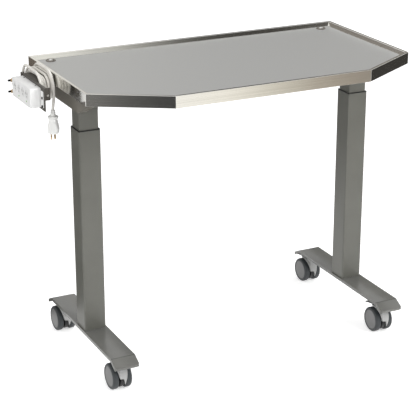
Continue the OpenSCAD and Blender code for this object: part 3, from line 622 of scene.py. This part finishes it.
hoodPanel = {
    "gap": 0.006, "proud": 0.0012, "sunk": 0.0022, "angles": (84, 171, 173, 197),
    "left": (-1.0, -1.0, 0.05, 0.50), "right": (1.0, 1.0, 0.98, 0.66),
    "levels": (0.0295, 0.046, 0.0563, 0.092, 0.104), "edgeShare": 0.07, "tipAngle": 0.03,
    "halfWidths": (0.0080, 0.0108, 0.0130, 0.0198, 0.0198), "across": 25,
}


def makeHoodPanel(caster):
    # The hood's moulded face: over angle it keeps the hood's radius plus a smooth rise at its
    # edges, with a half width that follows height, and ends in a narrow tongue
    p = hoodPanel
    low, high = nodeBox(f"{caster}_tyre_1")
    axleY, axleZ = (low[1:] + high[1:]) / 2
    outer = (high[2] - low[2]) / 2 + p["gap"]
    middle = sum(corner[0] for corner in nodeBox(f"{caster}_axle")) / 2
    first, turn, tongue, last = p["angles"]
    degrees = np.concatenate([
        np.linspace(first, turn, 26), [tongue - 1], np.linspace(tongue, last, 10),
    ])
    left, right = (np.interp(degrees, p["angles"], p[side])[:, None] for side in ("left", "right"))
    angle, u = np.radians(degrees)[:, None], np.linspace(0, 1, p["across"])[None]
    width = np.interp(axleZ + outer * np.sin(angle), p["levels"], p["halfWidths"])
    x = middle + width * (left + (right - left) * u)
    rise = np.clip(np.minimum(u, 1 - u) / p["edgeShare"], 0, 1)
    rise = rise * np.clip((np.radians(last) - angle) / p["tipAngle"], 0, 1)
    rise = rise ** 2 * (3 - 2 * rise)
    shell = []
    for radius in (outer + p["proud"] * rise, outer - p["sunk"] * np.ones_like(rise)):
        y, z = axleY + radius * np.cos(angle), axleZ + radius * np.sin(angle)
        shell.append(np.stack([x, y, z], 2))
    points = np.concatenate([shell[0], shell[1][:, ::-1]], 1)
    gridPiece(f"{caster}HoodPanel", points, "casterPlastic", f"{caster}_caster",
              "caster_plastic", [], 40)


brakeCore = {
    "radius": 0.0395, "halfWidth": 0.0095, "edge": 0.002, "bore": 0.0095, "step": 0.7,
    "chamfer": 0.003, "segments": 64,
}


def makeBrakeCore(caster):
    # A ring turned about the axle between the wheels, hidden above by the housing's web
    c = brakeCore
    low, high = nodeBox(f"{caster}_axle")
    outer, side, bore = c["radius"], c["halfWidth"], c["bore"]
    ring = filleted([
        (bore, 0), (bore, -side), (outer * c["step"], -side), (outer, -side + c["chamfer"]),
        (outer, side - c["chamfer"]), (outer * c["step"], side), (bore, side), (bore, 0),
    ], c["edge"])[:-1]
    turnedPiece(f"{caster}BrakeCore", ring, (low + high) / 2, (1, 0, 0), c["segments"],
                "blackPlastic", f"{caster}_caster", "black_plastic", closed=True)


for caster in casterNames:
    makeBrakeCore(caster)
    makeWheel(caster, 1, 1)
    makeWheel(caster, 2, -1)
    softened(f"{caster}_caster_housing", "casterPlastic", "caster_plastic", 0.0012, 3, 28)
    makeHoodPanel(caster)
    softened(f"{caster}_brake_pedal", "blackPlastic", "black_plastic", 0.0008)
print("casters made")


# Cord: the free stretch, the winding and the tail, in one tube as in the CAD

cordSetup = {
    "diameter": 0.009, "loopRadius": 0.028, "turnPitch": 0.0102, "layerPitch": 0.0098,
    "layerX": -0.0478, "turns": 6 + 1 / 3, "stepsPerTurn": 72, "spoolY": 0.162,
    "spoolZ": -0.046, "spoolStraight": 0.042, "sides": 18,
}
# The route's points, from the tray's left end, the tray's middle and the rim, in metres
leadRoute = np.array([
    [-81, 245, -66], [-80.3, 255, -67], [-76.5, 263, -68.5], [-69.5, 268, -69],
    [-61.5, 267.5, -67], [-54.5, 262.5, -62], [-50, 255.5, -54], [-48.2, 249, -44],
    [-47.8, 244, -32.5], [-47.8, 240.5, -21], [-47.8, 234, -10.5], [-47.8, 224.5, -3],
    [-47.8, 214, 0.8],
]) * mm
tailRoute = np.array([
    [-8.6, 68.2, -57], [-8.6, 68.2, -69], [-9.4, 68.7, -83], [-11.2, 69.8, -99], [-13, 71, -116],
]) * mm


def woundRoute(setup):
    # A racetrack that spirals in and out at a steady rate through five layers, each climb
    # taking half a turn.
    c, s = setup, setup["spoolStraight"]
    t = np.arange(0, c["turns"] + 1e-6, 1 / c["stepsPerTurn"])
    out = np.select([t < 2, t < 3, t < 4], [2 - t, t - 2, 4 - t], t - 4)
    climb = sum(np.clip((t - k) * 2 + 0.5, 0, 1) for k in (0.5, 2, 3, 4))
    r, q = c["loopRadius"] + c["turnPitch"] * out, (t % 1) * 24
    near, far = np.radians(90 + (q - 4) * 22.5), np.radians((q - 16) * 22.5 - 90)
    stretches = [q < 4, q < 12, q < 16]
    y = np.select(stretches, [s - q * s / 2, -s + r * np.cos(near), -s + (q - 12) * s / 2],
                  s + r * np.cos(far))
    z = np.select(stretches, [r, r * np.sin(near), -r], r * np.sin(far))
    x = c["layerX"] + c["layerPitch"] * climb
    return np.column_stack([x, c["spoolY"] + y, c["spoolZ"] + z])


def smoothLine(points, perSpan=6):
    # Catmull-Rom curve through the points.
    p = np.concatenate([[2 * points[0] - points[1]], points, [2 * points[-1] - points[-2]]])
    s = np.linspace(0, 1, perSpan, endpoint=False)[None, :, None]
    a, b, c, d = (p[i:len(p) - 3 + i][:, None] for i in range(4))
    curve = 0.5 * (2 * b + (c - a) * s + (2 * a - 5 * b + 4 * c - d) * s ** 2
                   + (3 * b - a - 3 * c + d) * s ** 3)
    return np.concatenate([curve.reshape(-1, 3), points[-1:]])


def tubePoints(line, radius, sides):
    # Rings square to a line, turned with it: each frame is the last one's, laid square again.
    along = np.gradient(line, axis=0)
    along /= np.linalg.norm(along, axis=1)[:, None]
    u = np.cross(along[0], [1, 0, 0])
    frames = []
    for t in along:
        u = u - t * (u @ t)
        u = u / np.linalg.norm(u)
        frames.append((u, np.cross(t, u)))
    u, v = (np.array([f[i] for f in frames]) for i in (0, 1))
    a = np.linspace(0, 2 * math.pi, sides, endpoint=False)
    return (line[:, None] + radius * (np.cos(a)[None, :, None] * u[:, None]
                                      + np.sin(a)[None, :, None] * v[:, None]))


wound = woundRoute(cordSetup)
joined = smoothLine(np.concatenate([leadRoute, wound[:7:6]]))[:-1]
cordLine = np.concatenate([joined, wound[6:], smoothLine(tailRoute)]) + cordHome
cordMesh = tubePoints(cordLine, cordSetup["diameter"] / 2, cordSetup["sides"])
cordPiece = gridPiece("mainsCord", cordMesh, "cordPvc", "top", "cord_pvc",
                      ["cord_lead", "cord_winding"], 60, flats=False)

plugSetup = {
    "diameter": 0.038, "boot": 0.020, "flat": 0.80, "turn": -20, "segments": 64,
    "ribs": 3, "ribStart": (0.0074, -0.002), "ribStep": (0.0007, -0.006),
    "rib": [(-0.0010, 0.0006), (0, 0), (0.0001, -0.0027), (-0.0010, -0.0033), (-0.0011, -0.0052)],
    # Shares of the diameter, and metres below the boot
    "outline": [(0.44, 0.0005), (0.46, 0.004), (0.37, 0.010), (0.37, 0.017), (0.46, 0.029),
                (0.5, 0.038), (0.5, 0.046), (0.46, 0.058)],
    "radii": [0.002, 0.0015, 0.003, 0.004, 0.006, 0.006, 0.006, 0.004], "steps": 6,
}


def makePlug():
    # Turned outline (r cos t, r sin t, z), with y held to a share of the diameter for its flats
    p = plugSetup
    boot = [(0.0006, 0.0), (0.0052, 0.0), (0.0060, -0.0008)]
    for i in range(p["ribs"]):
        boot += (np.add(p["ribStart"], np.multiply(p["ribStep"], i)) + p["rib"]).tolist()
    body = filleted([
        (boot[-1][0], boot[-1][1] - 0.0003),
        *((p["diameter"] * share, -p["boot"] - down) for share, down in p["outline"]),
        (0.0006, -p["boot"] - p["outline"][-1][1]),
    ], p["radii"], p["steps"])
    profile = np.concatenate([boot, body])
    points = revolved(profile, (0, 0, 0), (0, 0, 1), p["segments"])
    limit = p["diameter"] / 2 * p["flat"]
    x, y = points[..., 0], np.clip(points[..., 1], -limit, limit)
    a = math.radians(p["turn"])
    turned = np.stack([
        x * math.cos(a) - y * math.sin(a), x * math.sin(a) + y * math.cos(a), points[..., 2],
    ], -1)
    return gridPiece("plugBody", turned + cordHome + tailRoute[-1], "plugPvc", "top", "plug_pvc",
                     ["plug_body"], 45)


plugPiece = makePlug()
bladesPiece = softened("plug_blades", "bladeBrass", "brass", 0.0003)
print("plug made")


# Outlet strip: a rounded housing, outlet faces with slots, lamps, posts and screws

outletStrip = {
    "corner": 0.005, "edge": 0.0032, "leastCorner": 0.0005, "faceInset": 0.002, "length": 0.173,
    # The ear's width, what it lacks of the strip's height, and its thickness
    "ear": (0.020, 0.010, 0.002), "earEdge": (0.004, 0.0006), "earAway": 0.014, "earDrop": 0.001,
    "outlet": 0.0155, "pitch": 0.0363, "outletDrop": 0.025, "sunk": 0.0006, "groundDrop": 0.007,
    # Each slot: across, up, width and height
    "slots": {"a": (-0.00635, 0.0035, 0.0018, 0.0072), "b": (0.00635, 0.0035, 0.0018, 0.0060)},
    "slotPlate": (0.0003, 0.0005, 0.0001), "screwRows": (0.036, 0.143), "screwIn": 0.0042,
}


def roundedPlate(width, height, thickness, corner, edge, steps=5):
    # Rings of a rounded rectangle that shrink by 1 - cos a while rising by sin a at the edge
    o, a = outletStrip, np.radians(np.linspace(0, 90, steps))
    inset = np.concatenate([[0.0], edge * (1 - np.cos(a)), [edge + o["faceInset"]]])
    rise = np.concatenate([[0.0], thickness - edge + edge * np.sin(a), [thickness]])
    return np.stack([
        atHeight(roundedSquare(width - 2 * d, height - 2 * d, max(corner - d, o["leastCorner"])), h)
        for d, h in zip(inset, rise)
    ])


def stripPlate(name, plate, x, y, z, material, slot, replaced=(), smoothAngle=50):
    # A plate's (across, up, out) laid in the object's frame: out is -X, across is -Y
    points = np.stack([x - plate[..., 2], y - plate[..., 0], z + plate[..., 1]], -1)
    gridPiece(name, points, material, "top", slot, replaced, smoothAngle)


def makeStrip():
    o = outletStrip
    (faceX, _, bottom), (backX, farY, top) = nodeBox("strip_body")
    nearY = farY - o["length"]
    midY, midZ, height = (nearY + farY) / 2, (bottom + top) / 2, top - bottom
    housing = roundedPlate(o["length"], height, backX - faceX, o["corner"], o["edge"])
    stripPlate("stripHousing", housing, backX, midY, midZ, "stripPlastic", "strip_plastic",
               ["strip_body"])
    earWidth, earShort, earThick = o["ear"]
    ear = roundedPlate(earWidth, height - earShort, earThick, *o["earEdge"])
    stripPlate("stripEar", ear, backX, nearY - o["earAway"], midZ - o["earDrop"], "stripPlastic",
               "strip_plastic")
    face = [
        (0.0001, 0.0006), (0.0120, 0.0006), (0.0128, 0.0001), (0.0136, 0.0001), (0.0140, 0.0007),
        (0.0151, 0.0007), (o["outlet"], 0.0003), (o["outlet"], -0.001),
    ]
    hole = [(0.0001, 0.0), (0.0001, 0.0003), (0.0019, 0.0003), (0.0022, 0.0)]
    for i in range(4):
        y, z, sunkX = midY + (i - 1.5) * o["pitch"], top - o["outletDrop"], faceX - o["sunk"]
        turnedPiece(f"outletFace{i + 1}", face, (faceX, y, z), (-1, 0, 0), 48, "outletPlastic",
                    "top", "outlet_plastic", ["outlets"] if i == 0 else [], 30)
        # Slots and ground holes are thin sunk plates whose grey tone is painted shade in the
        # openings
        for label, (across, up, width, tall) in o["slots"].items():
            stripPlate(f"outletSlot{i + 1}{label}", roundedPlate(width, tall, *o["slotPlate"]),
                       sunkX, y - across, z + up, "slotShade", "black_plastic", smoothAngle=35)
        turnedPiece(f"outletGround{i + 1}", hole, (sunkX, y, z - o["groundDrop"]), (-1, 0, 0), 20,
                    "slotShade", "top", "black_plastic")
    head = [(0.0001, 0.0012), (0.0012, 0.0011), (0.0021, 0.0007), (0.0026, -0.0005)]
    for i, along in enumerate(o["screwRows"]):
        at = (backX - o["screwIn"], nearY + along, top - 0.0002)
        turnedPiece(f"lidScrew{i + 1}", head, at, (0, 0, 1), 24, "blackScrew", "top",
                    "black_screw")


groundPost = {
    "radius": 0.004, "bore": 0.0025, "start": 0.003, "pitch": 0.004, "groove": 0.0005,
    "plainEnd": 0.020, "segments": 28,
    # Radius, and metres back from the tip
    "collar": [(0.004, 0.018), (0.0066, 0.0172), (0.0068, 0.0155), (0.0046, 0.009),
               (0.0001, 0.0088)],
    "tip": [(0.0001, 0.0092), (0.0032, 0.0092), (0.0036, 0.0075), (0.0034, 0.0012), (0.0020, 0),
            (0.0001, 0)],
}


def makePosts():
    # Turned profiles about X: a brass sleeve with grooves and a flared collar, and a dark tip
    p = groundPost
    low, high = nodeBox("ground_posts")
    radius, y, reach = p["radius"], (low[1] + high[1]) / 2, high[0] - low[0] - p["start"]
    sleeve = [(0.0001, p["start"]), (p["bore"], p["start"]), (p["bore"], 0.0), (radius, 0.0)]
    for x in np.arange(p["pitch"], reach - p["plainEnd"], p["pitch"]):
        sleeve += [(radius, -x), (radius - p["groove"], -x - 0.0004), (radius, -x - 0.0008)]
    collar, tip = (filleted([(r, x - reach) for r, x in p[part]], edge, 4)
                   for part, edge in (("collar", 0.0006), ("tip", 0.0007)))
    for i, z in enumerate((high[2] - radius, low[2] + radius)):
        at = (high[0] - p["start"], y, z)
        turnedPiece(f"postSleeve{i + 1}", np.concatenate([sleeve, collar]), at, (1, 0, 0),
                    p["segments"], "brass", "top", "brass", [] if i else ["ground_posts"], 30)
        turnedPiece(f"postTip{i + 1}", tip, at, (1, 0, 0), p["segments"], "blackScrew", "top",
                    "black_screw", [], 30)


makeStrip()
makePosts()
print("strip made")


# Corner cups: a dished washer and a domed head, turned about Z

cornerCup = {
    # Pairs of (what is added to the cup's radius, height)
    "rim": [(0, 0.0), (0, 0.0012), (-0.0020, 0.0040), (-0.0050, 0.0042)],
    "radii": [0.0003, 0.0008, 0.0010, 0.0012, 0.0020, 0.0010], "steps": 6,
    "headRadius": 0.0075, "headRise": 0.0050, "headFoot": 0.0012,
}


def makeCups():
    # The head is part of an ellipse: radius by cos a, height by sin a
    c = cornerCup
    low, high = nodeBox("corner_cups")
    radius, floorZ = (high[1] - low[1]) / 2, rimZ - traySheet["basin"]
    dish = filleted([
        (0.0030, 0.0001), *((radius + r, z) for r, z in c["rim"]), (0.0095, 0.0014),
        (0.0030, 0.0012),
    ], c["radii"], c["steps"])
    a = np.radians(np.linspace(0, 88, 9))
    head = np.column_stack([c["headRadius"] * np.cos(a), c["headFoot"] + c["headRise"] * np.sin(a)])
    head = np.concatenate([[(0.0002, 0.0010)], head])
    bolt = [(0.0001, 0.0), (0.004, 0.0), (0.004, -0.009), (0.0001, -0.009)]
    for i, x in enumerate((low[0] + radius, high[0] - radius)):
        place = (x, (low[1] + high[1]) / 2, floorZ), (0, 0, 1)
        # The dish carries painted shade in its tone; the head is plain chrome
        turnedPiece(f"cupDish{i + 1}", dish, *place, 48, "spunSteel", "top", "chrome",
                    [] if i else ["corner_cups"], closed=True)
        turnedPiece(f"cupHead{i + 1}", head, *place, 48, "chrome", "top", "chrome", [], 50)
        turnedPiece(f"cupBolt{i + 1}", bolt, *place, 24, "chrome", "top", "chrome")


makeCups()
print("cups made")


# Foot ends: the lip that closes the bent plate's tip between the side lips

def makeFootEnd(side, toward):
    # A filleted strip across X and square to the plate; at the plate's rounded corners it is
    # drawn back up the slope by r - sqrt(r2 - u2), u being the way into the corner
    p = footBend
    low, high = nodeBox(f"{side}_foot")
    turn = math.atan2(p["drop"], p["run"])
    along, down = np.array([[math.cos(turn), -math.sin(turn)], [-math.sin(turn), -math.cos(turn)]])
    tip = np.array([footReach, high[2] - p["drop"]])
    plate, lip, thick, clear = p["plate"], p["lip"], p["thick"], p["clear"]
    section = filleted([tip + down * d - along * t for d, t in (
        (plate, thick / 2), (plate, clear), (lip, clear), (lip, thick), (plate, thick),
        (plate, thick / 2),
    )], p["radii"], p["steps"])[:-1]
    half = (high[0] - low[0]) / 2 - clear
    inside = np.sin(np.linspace(-math.pi / 2, math.pi / 2, p["rows"])) * half
    u = np.maximum(np.abs(inside) - (half - p["corner"]), 0)
    back = p["corner"] - np.sqrt(np.maximum(p["corner"] ** 2 - u ** 2, 0))
    points = np.empty((len(inside), len(section), 3))
    points[..., 0] = (low[0] + high[0]) / 2 + inside[:, None]
    points[..., 1] = footMiddle + toward * (section[None, :, 0] - back[:, None])
    points[..., 2] = section[None, :, 1] + back[:, None] * p["drop"] / p["run"]
    gridPiece(f"{side}FootEnd{'Back' if toward > 0 else 'Front'}", points, "footPaint",
              f"{side}_leg", "foot_paint", [], 40)


for side in ("left", "right"):
    for toward in (-1, 1):
        makeFootEnd(side, toward)
print("foot ends made")


# Side brackets: in front of the tube the folded channel is open, with its outer wall and a
# flange turned in along the slope

bracketSheet = {
    "flange": 0.029, "topFlange": 0.018, "thick": 0.003, "wall": 0.006, "clear": 0.0005,
    "open": 0.010, "beyond": 0.01, "slope": 0.5, "holeAcross": 0.0215, "holeAhead": 0.046,
    "holeRadius": 0.0055, "sides": 24, "soft": 0.0012,
}


def openBrackets():
    # Upright boxes and turned holes square to the slope, each a pair of outlines, taken from
    # a merged copy of the CAD node
    b = bracketSheet
    low, high = nodeBox("side_brackets")
    edge, across = b["topFlange"] + b["flange"], b["topFlange"] + b["holeAcross"]
    front, back = low[1] - b["beyond"], innerLow[1] + b["open"]
    levels = low[2] - b["beyond"], high[2] - b["thick"] - b["clear"]
    cutters = [
        np.stack([atHeight([(x0, front), (x1, front), (x1, back), (x0, back)], z) for z in levels])
        for x0, x1 in ((low[0] + edge, innerLow[0] + innerWidth + b["wall"]),
                       (innerHigh[0] - innerWidth - b["wall"], high[0] - edge))
    ]
    profile = [(b["holeRadius"], -2 * b["thick"]), (b["holeRadius"], 2 * b["thick"])]
    for x in (low[0] + across, high[0] - across):
        at = (x, innerLow[1] - b["holeAhead"], low[2] + b["holeAhead"] * b["slope"])
        cutters.append(revolved(profile, at, (0, b["slope"], 1), b["sides"]))
    points, faces = np.empty((0, 3)), []
    for cutter in cutters:
        faces += gridFaces(*cutter.shape[:2], capEnds=True, offset=len(points))
        points = np.concatenate([points, cutter.reshape(-1, 3)])
    cutMesh = bpy.data.meshes.new("bracketCutters")
    cutMesh.from_pydata(points.tolist(), [], faces)
    wholeMesh = frame["nodes"]["side_brackets"].data.copy()
    cutting, whole = (newObject(mesh.name, mesh) for mesh in (cutMesh, wholeMesh))
    for part in (cutting, whole):
        with merged(part.data) as work:
            bmesh.ops.recalc_face_normals(work, faces=work.faces)
    cut = whole.modifiers.new("opened", "BOOLEAN")
    cut.object, cut.solver = cutting, "EXACT"
    graph = bpy.context.evaluated_depsgraph_get()
    opened = bpy.data.meshes.new_from_object(whole.evaluated_get(graph))
    for part in (cutting, whole):
        bpy.data.objects.remove(part)
    softened("side_brackets", "bracketPaint", "bracket_paint", b["soft"], mesh=opened)


openBrackets()
print("brackets made")


# Nodes whose shape is right: rounded copies, or the node itself with its finish

softNodes = {
    "left_foot": ("footPaint", "foot_paint", 0.0016, 3, 15),
    "right_foot": ("footPaint", "foot_paint", 0.0016, 3, 15),
    "cross_beam": ("bracketPaint", "bracket_paint", 0.0005),
    "strip_bracket": ("stripBracketPaint", "bracket_paint", 0.0006),
    "control_box": ("blackPlastic", "black_plastic", 0.0008),
    "button_up": ("outletPlastic", "outlet_plastic", 0.0008),
    "button_down": ("outletPlastic", "outlet_plastic", 0.0008),
    "left_collar": ("blackPlastic", "black_plastic", 0.0006),
    "right_collar": ("blackPlastic", "black_plastic", 0.0006),
}
for node, finish in softNodes.items():
    softened(node, *finish)

plainNodes = {
    "tray_channels": "channelSteel", "stud_nuts": "zincSteel",
    "lift_drives": "motorPaint", "left_lift_nut": "brass", "right_lift_nut": "brass",
    "left_caster_stems": "zincSteel", "right_caster_stems": "zincSteel",
    "strip_lamps": "lampGreen", "strip_screws": "blackScrew",
    "strain_relief": "plugPvc",
}
plainNodes.update({f"{caster}_axle": "zincSteel" for caster in casterNames})
for node, material in plainNodes.items():
    mesh = frame["nodes"][node].data
    mesh.materials.clear()
    mesh.materials.append(materials[material])
print("finishes given")


# Studio: white sweep, soft lamps, and dark cards that only metal sees

def stagePlane(name, width, depth, place, turn, material, glossyOnly=False):
    mesh = bpy.data.meshes.new(name)
    w, d = width / 2, depth / 2
    mesh.from_pydata([(-w, -d, 0), (w, -d, 0), (w, d, 0), (-w, d, 0)], [], [(0, 1, 2, 3)])
    mesh.materials.append(material)
    plane = newObject(name, mesh)
    plane.location, plane.rotation_euler = place, [math.radians(a) for a in turn]
    if glossyOnly:
        plane.visible_camera = plane.visible_diffuse = plane.visible_shadow = False
        plane.visible_transmission = False


def rayShare(tree, *kinds):
    # 1 for a ray of any of the kinds named, 0 for the others
    path = addNode(tree, "LightPath")
    share = path.outputs[kinds[0]]
    for kind in kinds[1:]:
        share = addNode(tree, "Math", {0: share, 1: path.outputs[kind]}, operation="MAXIMUM")
    return share


def floorMaterial(lift):
    # Matt white studio floor, lifted to white for the camera and for metal.
    material, tree, shader, _ = startMaterial("whiteStudioFloor")
    seen = rayShare(tree, "Is Camera Ray", "Is Glossy Ray")
    fill(tree, shader, {
        "Base Color": linearColour("#F4F4F4"), "Roughness": 0.9, "Emission Color": (1, 1, 1, 1),
        "Emission Strength": addNode(tree, "Math", {0: seen, 1: lift}, operation="MULTIPLY"),
    })
    return material


def cardMaterial(name, width, tones):
    # Light of its own, with tones set along the card's X.
    material = bpy.data.materials.new(name)
    material.use_nodes = True
    tree = material.node_tree
    tree.nodes.clear()
    where = addNode(tree, "SeparateXYZ", {"Vector": addNode(tree, "TexCoord").outputs["Object"]})
    share = addNode(tree, "MapRange", {
        "Value": where.outputs["X"], "From Min": -width / 2, "From Max": width / 2,
    })
    glow = addNode(tree, "Emission", {"Color": addNode(tree, "ValToRGB", {"Fac": share}, tones)})
    addNode(tree, "OutputMaterial", {"Surface": glow})
    return material


def makeWorld(level):
    # An even white sky at the light level, and full white to the camera, metal and glass.
    world = bpy.data.worlds.new("studioWorld")
    bpy.context.scene.world = world
    world.use_nodes = True
    tree = world.node_tree
    tree.nodes.clear()
    seen = rayShare(tree, "Is Camera Ray", "Is Glossy Ray", "Is Transmission Ray")
    strength = addNode(tree, "MapRange", {"Value": seen, "To Min": level, "To Max": 1.0})
    sky = addNode(tree, "Background", {"Color": (1, 1, 1, 1), "Strength": strength})
    addNode(tree, "OutputWorld", {"Surface": sky})


def areaLamp(name, place, target, size, power):
    data = bpy.data.lights.new(name, "AREA")
    data.shape, data.size, data.energy = "DISK", size, power
    lamp = newObject(name, data)
    lamp.location = place
    lamp.rotation_mode = "QUATERNION"
    lamp.rotation_quaternion = (Vector(target) - Vector(place)).to_track_quat("-Z", "Y")
    lamp.visible_glossy = False


studio = {
    "floorSize": 40, "floorLift": 0.45, "skyLevel": 0.80, "lampTarget": (0, 0, 0.6),
    # Each lamp: place, size and power
    "lamps": {"key": ((2.6, -3.9, 3.2), 2.2, 150), "fill": ((-3.4, -2.6, 2.4), 2.6, 45)},
}
stagePlane("floor", studio["floorSize"], studio["floorSize"], (0, 0, 0), (0, 0, 0),
           floorMaterial(studio["floorLift"]))
# Each card: width, depth, place, turn, and the tones along its width from share to hex. Only
# reflections show them, where the photographer's room was not white. Those on the floor lie
# along the ways that the camera's rays leave the tray's faces.
studioCards = {
    "frontFloor": (3.0, 9.5, (2.98, -5.62, 0.004), (0, 0, 29), {
        0.30: "#FFFDF8", 0.40: "#FBF7EE", 0.50: "#D6D1C5", 0.59: "#ADA498", 0.68: "#989086",
    }),
    "frontLeftFloor": (4.0, 9.5, (-4.09, -4.81, 0.006), (0, 0, -39), {
        0.0: "#5A5A59", 0.44: "#7C7B79", 0.5: "#585857", 0.56: "#434343", 1.0: "#3A3A3A",
    }),
    "rightFloor": (3.4, 9.5, (6.96, 0.36, 0.008), (0, 0, 95.5), {
        0.0: "#3C3936", 1.0: "#403F3D",
    }),
    "backLeftFloor": (2.6, 9.5, (-2.64, 5.87, 0.004), (0, 0, 20), {
        0.0: "#3A3A39", 0.44: "#6C6A68", 0.465: "#787672", 0.478: "#A09C95", 0.49: "#BDB7AC",
        0.515: "#C6BBAC", 0.53: "#7A7066", 0.545: "#4E4741", 1.0: "#4E4741",
    }),
    "nearLeftFloor": (2.2, 2.2, (-1.3, 1.5, 0.010), (0, 0, 0), {0.0: "#4A4A48", 1.0: "#4A4A48"}),
    "backLeftWall": (4.6, 4.0, (-2.6, 6.2, 3.0), (90, 0, 0), {0.0: "#86817B", 1.0: "#86817B"}),
    "backWall": (16.0, 3.6, (3.4, 9.0, 2.5), (90, 0, -24), {
        0.0: "#E0DED8", 0.46: "#E6E4DE", 0.48: "#CFCDC8", 0.50: "#B4B3AE", 0.52: "#8F8D8A",
        0.54: "#6C6B68", 0.57: "#4C4B48", 0.61: "#4A4845", 0.63: "#6F6C67", 0.66: "#85817A",
        1.0: "#85817A",
    }),
    "ceiling": (2.9, 3.4, (1.7, -1.45, 4.0), (0, 0, 0), {
        0.04: "#F0EEE8", 0.17: "#EAEAE5", 0.22: "#E0DFDA", 0.26: "#CBCAC6", 0.31: "#C2C2BD",
        0.35: "#AAA9A5", 0.40: "#92918D", 0.46: "#6C6B68", 0.53: "#4E4D4A", 0.67: "#43413E",
        0.75: "#555350", 0.95: "#706D68",
    }),
}
for cardName, (width, depth, place, turn, tones) in studioCards.items():
    stagePlane(cardName, width, depth, place, turn, cardMaterial(cardName, width, tones), True)
makeWorld(studio["skyLevel"])
for lampName, (place, size, power) in studio["lamps"].items():
    areaLamp(lampName, place, studio["lampTarget"], size, power)
bpy.context.scene.view_settings.view_transform = "Standard"
print("studio made")

print("scene ready")
